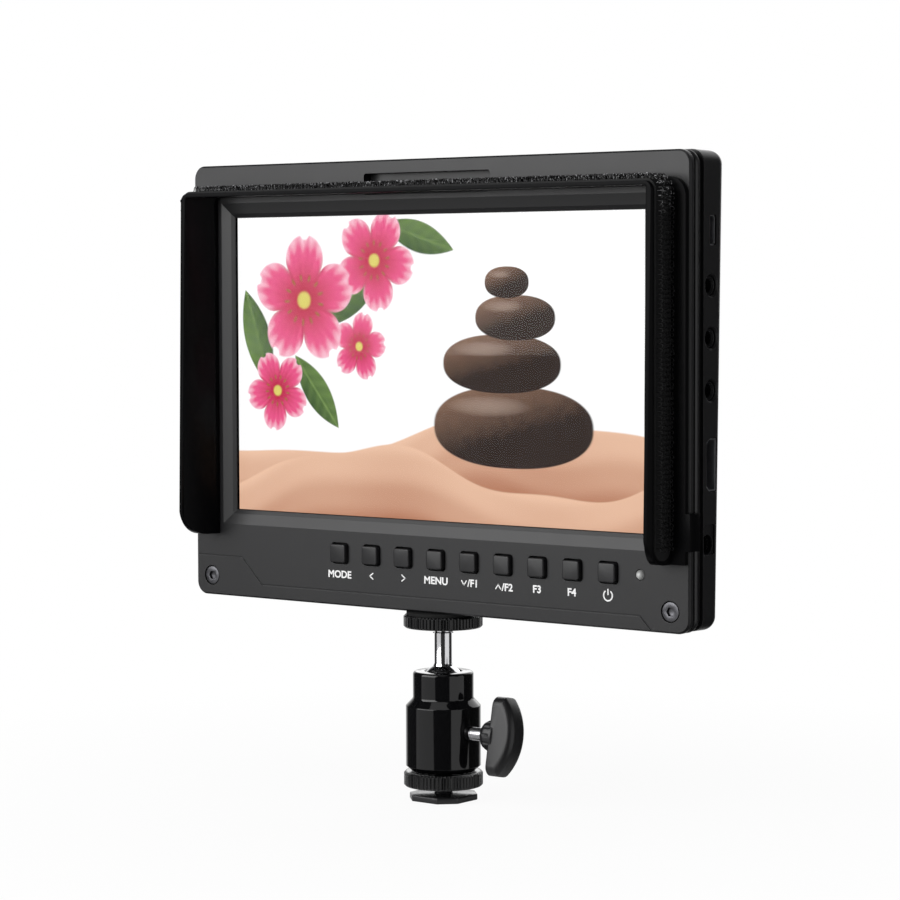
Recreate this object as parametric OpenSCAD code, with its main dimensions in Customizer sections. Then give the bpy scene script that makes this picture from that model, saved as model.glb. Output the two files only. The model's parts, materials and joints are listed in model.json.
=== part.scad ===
// Camera field monitor with a slide-on sun hood, carried on a small shoe-mount ball head.
// Millimetres. The origin is the centre of the shoe foot's underside, +Z is up, the screen faces -Y.

/* [Monitor body] */
// Width of the monitor
mon_w = 187; // [185:1:191]
// Height of the monitor
mon_h = 135; // [134:1:138]
// Depth of the monitor at its lower edge
mon_d = 15.5; // [15.5:0.5:17]
// Radius of the four corners, seen from the front
corner_r = 4; // [3.8:0.1:5]
// Radius of the back edges
back_r = 3.6; // [2:0.2:3.6]
// Thickness of the moulded walls
wall = 2; // [1.8:0.1:2.1]
// Depth at which the front frame meets the rear shell
split_d = 5; // [4.8:0.1:5.2]
// Height that the raised middle of the back stands out
hump_h = 5.5; // [4:0.5:8]

/* [Screen] */
// Width of the visible picture
screen_w = 154.6; // [151:0.2:156]
// Height of the visible picture
screen_h = 91.2; // [88:0.4:92]
// Height of the picture's centre above the monitor's lower edge
screen_z = 73; // [72.6:0.1:73.4]
// Width of the sloped band round the picture
bezel_w = 4.6; // [4.2:0.1:5]

/* [Keys] */
// Spacing of the keys
key_pitch = 12.48; // [11.5:0.02:12.6]
// Width of a key
key_w = 5.9; // [5:0.1:6.4]
// Height of a key
key_h = 5.6; // [5.2:0.1:6.2]
// How far a key stands out of the front
key_proud = 1.4; // [1:0.1:2]
// Travel of a key
key_travel = 0.5; // [0.3:0.05:0.5]

/* [Sun hood] */
// How far the hood's rim stands out of the front at its upper edge
hood_reach = 11.5; // [10:0.5:14]
// Outer width of the hood across its walls
hood_w = 176.5; // [175:0.5:178]
// Height of the hood's top wall above the monitor's lower edge
hood_top = 126.1; // [125.2:0.1:126.4]
// Height of the lower ends of the hood above the monitor's lower edge
hood_low = 19.6; // [19:0.2:30]
// Thickness of the hood's walls
hood_wall = 1.2; // [1:0.1:1.4]
// Thickness of the hook tape
tape_t = 2.4; // [1.4:0.1:2.6]

/* [Ball head] */
// Height of the monitor's lower edge above the foot's underside
mon_z = 57; // [56.6:0.2:60]
// Width of the shoe foot
foot_w = 18.5; // [18:0.1:18.6]
// Thickness of the shoe foot
foot_t = 1.8; // [1.5:0.1:2]
// Radius of the lower part of the head
head_r = 11.3; // [11:0.1:11.5]
// Radius of the upper part of the head
neck_r = 9.15; // [8.9:0.05:9.6]
// Radius of the ball
ball_r = 6.6; // [6:0.1:6.6]
// Radius of the polished stem
stem_r = 2.65; // [2.4:0.05:2.8]
// Radius of the two lock wheels
wheel_r = 11.9; // [11.5:0.1:13]
// Length of the clamp knob's wing
knob_l = 23.6; // [20:0.2:26]

/* [Hidden] */
$fn = 64;
eps = 0.1;

// Colours as seen on the real thing
frame_grey = [0.16, 0.16, 0.17];
shell_black = [0.07, 0.07, 0.075];
key_grey = [0.13, 0.13, 0.14];
gloss_black = [0.03, 0.03, 0.035];
chrome = [0.82, 0.83, 0.85];
board_green = [0.05, 0.3, 0.16];
metal = [0.66, 0.67, 0.69];

// Monitor, all heights above its lower edge and all depths behind its front face
front_y = -mon_d / 2;
back_wall = 1.6;
back_tilt = 1.3;
back_lift = (mon_d - split_d) * tan(back_tilt);
seam_groove_d = 1.8;
seam_bead_d = 3;
seam_depth = 1;
bead_r = 1.7;
shell_groove_w = 1.8;
shell_groove_depth = 1.2;
bezel_lip_w = 1.4;
bezel_lip_d = 0.9;
glass_d = 1.6;
glass_t = 1.0;
lcd_t = 2.5;
lcd_w = screen_w + 7.4;
lcd_h = screen_h + 9.6;
tray_t = 1.2;
board_d = 7.1;
board_t = 1.4;
board_back_d = board_d + board_t;
cavity_d = mon_d - back_wall;
key_row_x = -33.85;
key_z = 15.95;
key_gap = 0.45;
key_edge = 0.5;
key_flange_t = 0.8;
switch_tip_d = 3.9;
key_stem_d = switch_tip_d - key_travel - 0.05;
led_x = 76.9;
led_z = 15.9;
front_screw_x = mon_w / 2 - 6.5;
front_screw_z = 6.1;
screw_seat_d = 1.5;
front_post_r = 4.2;
rear_post_r = 2.9;
rear_screw_x = mon_w / 2 - 7;
rear_screw_z = [34.5, 128.5];
line_w = 0.45;
line_depth = 0.3;
pocket_w = 47.6;
pocket_low = 124.7;
pocket_high = 131;
pocket_depth = 3.5;
insert_r = 5.2;
insert_h = 7;
stud_r = 3.1;
thread_bore_r = 3.175;
// Sockets on the right-hand side: height, and depth of the centre
jack_z = [67.8, 82.5, 97.2];
jack_d = 10.8;
jack_r = 1.8;
jack_l = 12;
data_z = 112.7;
data_d = 11.6;
video_z = 47;
video_d = 11.1;
dc_z = 24.6;
dc_d = 9.9;
// Raised middle of the back
hump_w = 132;
hump_l = 86;
hump_z = 70;
hump_r = 9;
hump_edge = 4;
vent_count = 23;
vent_pitch = 4.6;
vent_w = 2;
vent_l = 13;

// Sun hood
hood_gap = 0.2;
flange_t = 1.6;
flange_w = mon_w - 0.8;
flange_inner_x = 83.3;
flange_top = 127.4;
hood_corner_r = 2.6;
hood_nose_r = 9;
hood_inner_top = hood_top - hood_wall;
tape_back = 2.6;
tape_front = hood_reach - 1.2;
clip_low = 23.4;
clip_high = 34;
clip_gap = 0.3;
clip_t = 0.9;
clip_hook = 0.6;
clip_reach = 0.7;
clip_back_d = 3.5;
rim_lean = 2.1;
hood_front = hood_reach + rim_lean;

// Ball head
foot_clip = 4.5;
foot_stud_r = 2.8;
foot_stud_top = 13.2;
foot_wheel_z = 4.2;
foot_wheel_t = 4.4;
head_z = 8.9;
shoulder_z = 28.6;
neck_z = 30.3;
head_top = 38.8;
ball_z = 34.5;
mouth_r = 5.44;
seat_clear = 0.1;
bore_r = ball_r + seat_clear;
top_wheel_z = mon_z - 4.9;
top_wheel_t = 3.8;
pad_t = 0.95;
plug_top = 24.9;
knob_z = 20.8;
screw_r = 2;
screw_tip_x = 3;
collar_x = 15.8;
wing_x = 20.2;
wing_t = 8;
wing_w = 8;
wing_tilt = 11;
wing_bow_r = 17;
wing_round = 2.2;

// ---- shared forms ----

// Puts a child drawn with x to the right, y up and z into the monitor in its place.
module front_space() {
    translate([0, front_y, mon_z]) rotate([90, 0, 0]) mirror([0, 0, 1]) children();
}

// Puts a child at a socket on the right-hand side: its z points out of the side, its y up.
module side_space(z, d, inward = 0) {
    front_space() translate([mon_w / 2 - inward, z, d]) rotate([0, 90, 0]) children();
}

module rounded_rect(w, h, r) {
    square([w - 2 * r, h], center = true);
    square([w, h - 2 * r], center = true);
    for (x = [-1, 1], y = [-1, 1])
        translate([x * (w / 2 - r), y * (h / 2 - r)]) circle(r);
}

// Runs a profile round a rounded rectangle. In it x is the distance out of the outline, y the depth.
module edge_sweep(w, h, r) {
    for (k = [0:3]) {
        across = k % 2 == 0 ? w : h;
        along = k % 2 == 0 ? h : w;
        rotate([0, 0, 90 * k]) {
            translate([across / 2, along / 2 - r, 0])
                rotate([90, 0, 0]) linear_extrude(along - 2 * r) children();
            translate([across / 2 - r, along / 2 - r, 0])
                rotate_extrude(angle = 90) translate([r, 0]) children();
        }
    }
}

// What a round of radius r takes off an edge that ends at depth 0.
module edge_round(r) {
    difference() {
        translate([-r, -r]) square([r + 1, r + 1]);
        translate([-r, -r]) circle(r);
    }
}

// What a chamfer takes off an edge that starts at depth 0.
module edge_chamfer(c) {
    polygon([[-c - eps, -eps], [eps, c + eps], [1, c + eps], [1, -eps]]);
}

module body_outline(inset = 0) {
    translate([0, mon_h / 2])
        rounded_rect(mon_w - 2 * inset, mon_h - 2 * inset, max(corner_r - inset, 0.6));
}

// A frustum with a rectangular mouth at z = 0 that narrows by slope at depth d.
module rect_funnel(w, h, d, slope) {
    intersection() {
        rotate([90, 0, 0]) linear_extrude(h, center = true)
            polygon([[-w / 2, 0], [w / 2, 0], [w / 2 - slope, d], [slope - w / 2, d]]);
        rotate([90, 0, 90]) linear_extrude(w, center = true)
            polygon([[-h / 2, 0], [h / 2, 0], [h / 2 - slope, d], [slope - h / 2, d]]);
    }
}

function arc_points(c, r, a0, a1, n = 6) =
    [for (i = [0:n]) c + r * [cos(a0 + (a1 - a0) * i / n), sin(a0 + (a1 - a0) * i / n)]];

function key_x(i) = key_row_x + i * key_pitch;

// ---- monitor ----

// The engraved line below the keys, as a strip between each pair of its points.
module engraved_line() {
    points = [[-mon_w / 2 - 1, 12.5], [-74, 12.5], [-65.8, 4.3], [76.9, 4.3], [82.2, -1]];
    for (i = [0:len(points) - 2]) {
        run = points[i + 1] - points[i];
        translate(points[i]) rotate([0, 0, atan2(run.y, run.x)])
            translate([-line_w / 2, -line_w / 2]) square([norm(run) + line_w, line_w]);
    }
}

module window_cut() {
    translate([0, screen_z, 0]) {
        slope_w = bezel_w - bezel_lip_w;
        translate([0, 0, -0.001])
            rect_funnel(screen_w + 2 * bezel_w, screen_h + 2 * bezel_w, bezel_lip_d, slope_w);
        translate([0, 0, bezel_lip_d - 0.01])
            rect_funnel(screen_w + 2 * bezel_lip_w, screen_h + 2 * bezel_lip_w,
                        glass_d - bezel_lip_d + 0.02, bezel_lip_w);
    }
}

module front_screw_cut() {
    for (x = [-1, 1]) translate([x * front_screw_x, front_screw_z, -eps]) {
        cylinder(h = screw_seat_d + eps, r = 3.1);
        cylinder(h = split_d + 1, r = 1.6);
    }
}

module front_frame() {
    color(frame_grey) front_space() difference() {
        union() {
            difference() {
                linear_extrude(split_d) body_outline();
                translate([0, 0, wall]) linear_extrude(split_d) body_outline(wall);
            }
            // Wall round the finger pocket
            translate([-pocket_w / 2 - 1, pocket_low - 1, wall - eps])
                cube([pocket_w + 2, mon_h - pocket_low - 1, pocket_depth + 1 - wall]);
            // Screw posts
            for (x = [-1, 1]) {
                translate([x * front_screw_x, front_screw_z, wall - eps])
                    cylinder(h = split_d - wall + eps, r = front_post_r);
                for (z = rear_screw_z) translate([x * rear_screw_x, z, wall - eps])
                    cylinder(h = split_d - wall + eps, r = rear_post_r);
            }
            // Rails that hold the window and the panel
            for (x = [-1, 1]) translate([x * (lcd_w / 2 + 1) - 0.7, 24, wall - eps])
                cube([1.4, lcd_h - 6, 2.6]);
        }
        window_cut();
        translate([0, screen_z, glass_d])
            linear_extrude(wall) square([lcd_w - 4, lcd_h - 4], center = true);
        for (i = [0:8]) translate([key_x(i), key_z, -eps])
            linear_extrude(wall + 1) rounded_rect(key_w + 2 * key_gap, key_h + 2 * key_gap, 1);
        translate([led_x, led_z, -eps]) cylinder(h = wall + 1, r = 1.6);
        // Finger pocket above the hood
        translate([0, (pocket_low + pocket_high) / 2, -eps]) linear_extrude(pocket_depth + eps)
            rounded_rect(pocket_w, pocket_high - pocket_low, 0.8);
        translate([0, 0, -eps]) linear_extrude(line_depth + eps) engraved_line();
        front_screw_cut();
        for (x = [-1, 1], z = rear_screw_z) translate([x * rear_screw_x, z, wall + 0.6])
            cylinder(h = split_d, r = 1.3);
        // Chamfered front edge, thin groove and rounded bead round the sides
        translate([0, mon_h / 2, 0]) edge_sweep(mon_w, mon_h, corner_r) {
            edge_chamfer(0.5);
            translate([-seam_depth, seam_groove_d]) square([2, seam_bead_d - seam_groove_d]);
            difference() {
                translate([-0.6, seam_bead_d]) square([2, split_d - seam_bead_d + eps]);
                translate([-bead_r, (seam_bead_d + split_d) / 2]) circle(bead_r);
            }
        }
        translate([0, -eps, -front_y]) rotate([-90, 0, 0])
            cylinder(h = insert_h + 2, r = insert_r + 0.1);
    }
}

module video_outline(grow = 0) {
    polygon([[-2.2 - grow, -7 - grow], [0.9, -7 - grow], [2.2 + grow, -5.7 - grow],
             [2.2 + grow, 5.7 + grow], [0.9, 7 + grow], [-2.2 - grow, 7 + grow]]);
}

module vent_rows() {
    for (row = [-1, 1], i = [0:vent_count - 1])
        translate([(i - (vent_count - 1) / 2) * vent_pitch, row * (hump_l / 2 - 17)]) {
            square([vent_w, vent_l - vent_w], center = true);
            for (end = [-1, 1]) translate([0, end * (vent_l - vent_w) / 2]) circle(vent_w / 2, $fn = 16);
        }
}

module side_openings() {
    cut = wall + 1;
    side_space(data_z, data_d, wall + 0.5) linear_extrude(cut) rounded_rect(3.5, 8.6, 0.9);
    for (z = jack_z) side_space(z, jack_d, wall + 0.5) {
        cylinder(h = cut, r = 2.85);
        translate([0, 0, wall]) cylinder(h = 0.6, r1 = 2.85, r2 = 3.45);
    }
    side_space(video_z, video_d, wall + 0.5) linear_extrude(cut) video_outline(0.55);
    side_space(dc_z, dc_d, wall + 0.5) cylinder(h = cut, r = 2.75);
    side_space(dc_z + 1.4, dc_d, 0.8) linear_extrude(cut) rounded_rect(5.8, 8.6, 0.7);
}

// Turns a child about the split line, so that the back slopes away towards the upper edge.
module back_space() {
    translate([0, back_lift, split_d]) rotate([back_tilt, 0, 0]) translate([0, 0, -split_d]) children();
}

function back_depth(z) = mon_d + z * tan(back_tilt);

// The shell's outer form, before it is cut at the split.
module shell_form() {
    start = split_d - 4;
    translate([0, 0, start]) linear_extrude(mon_d - start) body_outline();
    translate([0, hump_z, mon_d - 1]) linear_extrude(hump_h + 1) rounded_rect(hump_w, hump_l, hump_r);
}

module shell_cavity() {
    start = split_d - 5;
    translate([0, 0, start]) linear_extrude(cavity_d - start) body_outline(wall + 0.2);
    translate([0, hump_z, cavity_d - eps]) linear_extrude(hump_h + eps)
        rounded_rect(hump_w - 2 * hump_edge, hump_l - 2 * hump_edge, hump_r - hump_edge);
}

// Screw posts and the block round the tripod insert
module shell_posts() {
    for (x = [-1, 1]) {
        translate([x * front_screw_x, front_screw_z, split_d])
            cylinder(h = cavity_d - split_d + 0.6, r = front_post_r);
        for (z = rear_screw_z) translate([x * rear_screw_x, z, split_d])
            cylinder(h = back_depth(z) - split_d - 1, r = rear_post_r);
    }
    translate([-8, wall - eps, split_d]) cube([16, insert_h - wall, cavity_d - split_d + 0.6]);
}

module rear_shell() {
    color(shell_black) difference() {
        front_space() difference() {
            union() {
                back_space() difference() {
                    shell_form();
                    shell_cavity();
                }
                shell_posts();
            }
            translate([-mon_w, -mon_h, split_d - 20]) cube([2 * mon_w, 3 * mon_h, 20]);
            // Rounded back edges, edges of the raised middle and its vents
            back_space() {
                translate([0, mon_h / 2, mon_d]) edge_sweep(mon_w, mon_h, corner_r) edge_round(back_r);
                translate([0, hump_z, mon_d + hump_h]) edge_sweep(hump_w, hump_l, hump_r)
                    polygon([[-hump_edge, 0], [-hump_edge, 1], [1, 1], [1, -hump_h], [0, -hump_h]]);
                translate([0, hump_z, mon_d]) linear_extrude(hump_h + 1) vent_rows();
            }
            // Groove along the split
            translate([0, mon_h / 2, 0]) edge_sweep(mon_w, mon_h, corner_r)
                translate([-shell_groove_depth, split_d - 1]) square([3, shell_groove_w + 1]);
            for (x = [-1, 1]) {
                translate([x * front_screw_x, front_screw_z, split_d - eps]) cylinder(h = 7.4, r = 1.35);
                for (z = rear_screw_z) translate([x * rear_screw_x, z, split_d - eps]) {
                    cylinder(h = mon_d, r = 1.35);
                    translate([0, 0, back_depth(z) - split_d - 2]) cylinder(h = 4, r = 2.7);
                }
            }
            translate([0, -eps, -front_y]) rotate([-90, 0, 0])
                cylinder(h = insert_h + 2, r = insert_r + 0.1);
        }
        side_openings();
    }
}

module window_glass() {
    color([0.6, 0.68, 0.72, 0.35]) front_space() translate([0, screen_z, glass_d + 0.02])
        linear_extrude(glass_t) rounded_rect(lcd_w - 4.3, lcd_h - 4.3, 1);
}

module lcd_panel() {
    color([0.1, 0.12, 0.16]) front_space() translate([0, screen_z, glass_d + glass_t + 0.06])
        linear_extrude(lcd_t) square([lcd_w, lcd_h], center = true);
}

// Folded metal tray behind the panel, with its rim round the panel's back edge
module backlight_tray() {
    color(metal) front_space() translate([0, screen_z, glass_d + glass_t + lcd_t + 0.1]) difference() {
        linear_extrude(tray_t) square([lcd_w - 0.6, lcd_h - 0.6], center = true);
        for (x = [-1, 0, 1]) translate([x * 48, 0, tray_t / 2]) linear_extrude(tray_t)
            rounded_rect(38, lcd_h - 24, 3);
    }
}

module main_board() {
    color(board_green) front_space() difference() {
        union() {
            translate([-62, 24, board_d]) cube([mon_w / 2 + 62 - 3.4, 98, board_t]);
            translate([-30, 58, board_back_d - eps]) cube([22, 22, 1.5 + eps]);
            translate([6, 64, board_back_d - eps]) cube([14, 10, 1.2 + eps]);
            translate([34, 88, board_back_d - eps]) cube([9, 9, 2.8 + eps]);
            translate([48, 36, board_back_d - eps]) cube([12, 12, 3.6 + eps]);
            for (i = [0:4]) translate([-48 + i * 9, 100, board_back_d - eps])
                cylinder(h = 4.2, r = 2.6, $fn = 32);
        }
        for (x = [-54, 70], z = [32, 114]) translate([x, z, board_d - eps])
            cylinder(h = board_t + 1, r = 1.6, $fn = 32);
        translate([rear_screw_x - 4, rear_screw_z[0] - 4, board_d - 1]) cube([9, 8, 4]);
        // Notches for the power socket and the three jacks, which pass through the board
        translate([mon_w / 2 - 12.4, 20, board_d - 1]) cube([13, 10.8, 4]);
        for (z = jack_z) translate([mon_w / 2 - jack_l - 3.7, z - 3.4, board_d - 1]) cube([15, 6.8, 4]);
    }
}

// Turned spacers between the tray and the main board
module board_standoffs() {
    tray_back = glass_d + glass_t + lcd_t + 0.1 + tray_t;
    color(metal) front_space() for (x = [-54, 70], z = [32, 114])
        translate([x, z, tray_back]) {
            cylinder(h = board_d - tray_back, r = 2.6, $fn = 32);
            cylinder(h = board_d + board_t - tray_back, r = 1.55, $fn = 32);
        }
}

// Flat ribbon from the panel's lower edge, round the tray and up between the tray and the board
module screen_ribbon() {
    film = 0.15;
    fold_z = 21.8;
    rise_d = 3.4;
    return_d = 6.8;
    color([0.75, 0.5, 0.16]) front_space() translate([-12, 0, 0]) {
        translate([0, fold_z, rise_d]) cube([30, screen_z - lcd_h / 2 - fold_z, film]);
        translate([0, fold_z, rise_d]) cube([30, film, return_d + film - rise_d]);
        translate([0, fold_z, return_d]) cube([30, 9.2, film]);
    }
}

module key_board() {
    color(board_green) front_space() difference() {
        translate([-42, 8, 6]) cube([122.4, 13.6, 1]);
        for (x = [-40, 78.6]) translate([x, 19.2, 5]) cylinder(h = 3, r = 1.1, $fn = 32);
    }
}

module tact_switches() {
    color([0.2, 0.2, 0.2]) front_space() for (i = [0:8]) translate([key_x(i), key_z, 0]) {
        translate([-2.25, -2.25, 4.5]) cube([4.5, 4.5, 1.48]);
        translate([0, 0, switch_tip_d]) cylinder(h = 1, r = 1, $fn = 32);
    }
}

module led_lens() {
    color([0.75, 0.78, 0.76, 0.8]) front_space() translate([led_x, led_z, 0]) {
        translate([0, 0, 0.5]) cylinder(h = 4.5, r = 1.5, $fn = 32);
        translate([0, 0, 0.5]) intersection() {
            sphere(1.5, $fn = 32);
            translate([0, 0, -2]) cylinder(h = 2.4, r = 2, $fn = 32);
        }
        translate([0, 0, wall + 0.1]) cylinder(h = 0.8, r = 2, $fn = 32);
    }
}

module hex_socket(across, depth) {
    translate([0, 0, -eps]) linear_extrude(depth + eps) circle(across / 2 / cos(30), $fn = 6);
}

module front_screws() {
    color(shell_black) front_space() for (x = [-1, 1])
        translate([x * front_screw_x, front_screw_z, 0.15]) difference() {
            union() {
                cylinder(h = screw_seat_d - 0.16, r = 2.75);
                cylinder(h = 11.2, r = 1.3, $fn = 32);
            }
            hex_socket(2.4, 1.1);
        }
}

module rear_screws() {
    tip_d = 3.5;
    color(metal) front_space() for (x = [-1, 1], z = rear_screw_z)
        translate([x * rear_screw_x, z, back_depth(z) - 0.5]) mirror([0, 0, 1]) difference() {
            union() {
                cylinder(h = 1.48, r = 2.4, $fn = 32);
                cylinder(h = back_depth(z) - 0.5 - tip_d, r = 1.25, $fn = 32);
            }
            for (a = [0, 90]) rotate([0, 0, a]) translate([-1.3, -0.25, -eps]) cube([2.6, 0.5, 0.8]);
        }
}

// Small socket with a folded metal shell, on two feet that stand on the board
module data_socket() {
    foot_x = 1.2;
    color(metal) side_space(data_z, data_d, wall + 6) difference() {
        union() {
            linear_extrude(7.4) rounded_rect(3.3, 8.4, 0.8);
            for (y = [-1, 1]) translate([foot_x, y * 3.6 - 0.3, 1])
                cube([data_d - board_back_d - foot_x, 0.6, 4.4]);
        }
        translate([0, 0, 1]) linear_extrude(8) rounded_rect(2.7, 7.8, 0.6);
    }
    color(shell_black) side_space(data_z, data_d, wall + 6)
        translate([-0.4, -2.6, 0.9]) cube([0.8, 5.2, 5.4]);
}

// A 3.5 mm jack: square body, collar behind the shell's wall, and a nose that stands in its hole
module audio_jack(z) {
    nose = 1.5;
    color(gloss_black) side_space(z, jack_d, wall + 0.3) difference() {
        union() {
            translate([-3, -3, -jack_l]) cube([6, 6, jack_l - 2]);
            translate([0, 0, -2.1]) cylinder(h = 2.1, r = 3);
            translate([0, 0, -eps]) cylinder(h = nose + eps, r = 2.6);
        }
        translate([0, 0, nose - jack_l]) cylinder(h = jack_l + 1, r = jack_r);
        translate([0, 0, nose - 0.6]) cylinder(h = 0.7, r1 = jack_r, r2 = jack_r + 0.58);
    }
}

module video_socket() {
    color(metal) side_space(video_z, video_d, wall + 9) difference() {
        linear_extrude(10.6) video_outline(0.35);
        translate([0, 0, 1]) linear_extrude(11) video_outline();
    }
    color(shell_black) side_space(video_z, video_d, wall + 9)
        translate([-0.55, -5.6, 0.9]) cube([1.1, 11.2, 8]);
}

module dc_socket() {
    color(gloss_black) side_space(dc_z, dc_d, wall + 0.4) difference() {
        translate([-3.6, -3.6, -9.6]) cube([7.2, 7.2, 9.6]);
        translate([0, 0, -8.6]) cylinder(h = 9, r = 2.7);
    }
    color(metal) side_space(dc_z, dc_d, wall + 0.4)
        translate([0, 0, -8.7]) cylinder(h = 7.6, r = 0.65, $fn = 32);
}

// Threaded brass bush in the lower edge
module tripod_insert() {
    color([0.72, 0.6, 0.32]) translate([0, 0, mon_z]) difference() {
        union() {
            cylinder(h = 1.1, r = insert_r);
            cylinder(h = insert_h, r = insert_r - 0.6);
        }
        translate([0, 0, -eps]) cylinder(h = insert_h + 1, r = thread_bore_r);
    }
}

// A key: cap, retaining flange behind the front wall, and the post that meets its switch
module key(i) {
    color(key_grey) front_space() translate([key_x(i), key_z, 0]) {
        difference() {
            translate([0, 0, -key_proud]) linear_extrude(key_proud + wall + 0.2)
                rounded_rect(key_w, key_h, 0.8);
            translate([0, 0, -key_proud]) edge_sweep(key_w, key_h, 0.8) edge_chamfer(key_edge / 2);
        }
        translate([0, 0, wall + 0.1]) linear_extrude(key_flange_t)
            rounded_rect(key_w + 1.8, key_h + 1.8, 0.8);
        translate([0, 0, wall + 0.5]) cylinder(h = key_stem_d - wall - 0.5, r = 1.2, $fn = 32);
    }
}

// ---- sun hood ----

// The hood's outline from the front: open below, rounded at its two upper corners.
module hood_arch(w, top, r) {
    low = hood_low - 1;
    translate([-w / 2, low]) square([w, top - low - r]);
    translate([r - w / 2, low]) square([w - 2 * r, top - low]);
    for (x = [-1, 1]) translate([x * (w / 2 - r), top - r]) circle(r);
}

module hood_ring(w, top, r, w_in, top_in, r_in) {
    difference() {
        hood_arch(w, top, r);
        translate([0, -1]) hood_arch(w_in, top_in + 1, r_in);
    }
}

// Keeps what lies within a side view: from depth d0 to d1, with a rounded lower front corner.
module side_limit(d0, d1, low, r_front, r_back) {
    front_space() rotate([0, -90, 0]) linear_extrude(mon_w + 20, center = true) {
        translate([d0, low + r_front]) square([d1 - d0, mon_h]);
        translate([d0 + r_front, low]) square([d1 - d0 - r_front - r_back, mon_h]);
        translate([d0 + r_front, low + r_front]) circle(r_front);
        if (r_back > 0) translate([d1 - r_back, low + r_back]) circle(r_back);
    }
}

// Keeps what lies behind the hood's rim, which leans forward towards its lower ends.
module rim_limit() {
    front_space() rotate([0, -90, 0]) linear_extrude(mon_w + 20, center = true)
        polygon([[-hood_front, hood_low - 1], [-hood_reach, mon_h], [1, mon_h], [1, hood_low - 1]]);
}

module hood_clip() {
    inner_x = mon_w / 2 + clip_gap;
    hook_d = seam_groove_d + clip_gap;
    // Strip that joins the clip to the flange
    translate([flange_w / 2 - 2, clip_low, -hood_gap - flange_t])
        cube([inner_x + clip_t - flange_w / 2 + 2, clip_high - clip_low, flange_t]);
    translate([inner_x, clip_low, -hood_gap - eps])
        cube([clip_t, clip_high - clip_low, clip_back_d + hood_gap + eps]);
    translate([mon_w / 2 - clip_reach, clip_low, hook_d])
        cube([clip_reach + clip_gap + eps, clip_high - clip_low, clip_hook]);
}

module hood_frame() {
    inner_w = hood_w - 2 * hood_wall;
    color(shell_black) {
        intersection() {
            front_space() {
                translate([0, 0, -hood_gap - flange_t]) linear_extrude(flange_t)
                    hood_ring(flange_w, flange_top, 5.5, 2 * flange_inner_x, hood_inner_top, 1.4);
                translate([0, 0, -hood_front]) linear_extrude(hood_front - hood_gap - eps)
                    hood_ring(hood_w, hood_top, hood_corner_r, inner_w, hood_inner_top, 1.4);
                // Splayed inner faces of the side walls
                for (x = [-1, 1]) scale([x, 1, 1]) mirror([0, 1, 0]) rotate([90, 0, 0])
                    linear_extrude(hood_inner_top + 0.4)
                        polygon([[inner_w / 2 + eps, 0.8 - hood_front],
                                 [inner_w / 2 + eps, -hood_gap - flange_t + eps],
                                 [flange_inner_x, -hood_gap - flange_t + eps],
                                 [flange_inner_x, -hood_gap - flange_t],
                                 [inner_w / 2 - 0.1, 0.8 - hood_front]]);
            }
            side_limit(-hood_front, 0, hood_low, hood_nose_r, 0);
            rim_limit();
        }
        front_space() for (x = [-1, 1]) scale([x, 1, 1]) hood_clip();
    }
}

module hook_tape() {
    gap = 0.02;
    color([0.05, 0.05, 0.05]) intersection() {
        front_space() translate([0, 0, -tape_front]) linear_extrude(tape_front - tape_back)
            hood_ring(hood_w + 2 * tape_t, hood_top + tape_t, hood_corner_r + tape_t,
                      hood_w + 2 * gap, hood_top + gap, hood_corner_r + gap);
        side_limit(-tape_front, -tape_back, hood_low + 1.4, 3.6, 3.6);
    }
}

// ---- ball head ----

// Square foot with clipped corners and its threaded stud
module shoe_foot() {
    color(gloss_black) {
        linear_extrude(foot_t) intersection() {
            square(foot_w, center = true);
            rotate(45) square(foot_w * sqrt(2) - foot_clip * sqrt(2), center = true);
        }
        translate([0, 0, foot_t - eps]) cylinder(h = foot_stud_top - foot_t + eps, r = foot_stud_r);
    }
}

// Lock wheel with six groups of finger grooves
module lock_wheel(z, t, bore) {
    translate([0, 0, z]) difference() {
        rotate_extrude()
            polygon([[bore, 0], [wheel_r - 0.5, 0], [wheel_r, 0.5], [wheel_r, t - 0.5],
                     [wheel_r - 0.5, t], [bore, t]]);
        for (group = [0:5], k = [-2:2]) rotate([0, 0, 16 + 60 * group + 7.5 * k])
            translate([wheel_r + 0.15, 0, -eps]) cylinder(h = t + 1, r = 0.5, $fn = 16);
    }
}

module foot_lock_wheel() {
    color(gloss_black) lock_wheel(foot_wheel_z, foot_wheel_t, foot_stud_r + 0.08);
}

module head_body() {
    profile = concat(
        [[0, head_z], [head_r - 1.7, head_z], [head_r, head_z + 1.5], [head_r, shoulder_z - 0.3]],
        arc_points([head_r - 0.4, shoulder_z - 0.3], 0.4, 0, 45, 3),
        arc_points([neck_r + 1.2, neck_z + 0.9], 1.2, 225, 180, 4),
        arc_points([neck_r - 0.9, head_top - 0.9], 0.9, 0, 90, 5),
        [[0, head_top]]
    );
    color(gloss_black) difference() {
        rotate_extrude() polygon(profile);
        translate([0, 0, head_z - 1]) cylinder(h = ball_z - head_z + 1, r = bore_r);
        translate([0, 0, ball_z]) sphere(bore_r);
        translate([0, 0, ball_z + 3.4]) cylinder(h = 5, r = mouth_r);
        translate([0, 0, head_top - 0.4]) cylinder(h = 0.5, r1 = mouth_r, r2 = mouth_r + 0.5);
        translate([0, 0, knob_z]) rotate([0, 90, 0]) cylinder(h = head_r + 1, r = screw_r + 0.08, $fn = 32);
    }
}

// Screwed plug that closes the head below and takes the foot's stud
module head_base() {
    color(metal) translate([0, 0, head_z + 0.1]) difference() {
        cylinder(h = foot_stud_top - head_z, r = bore_r - 0.02);
        translate([0, 0, -eps]) cylinder(h = 8, r = foot_stud_r + 0.02);
    }
}

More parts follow.
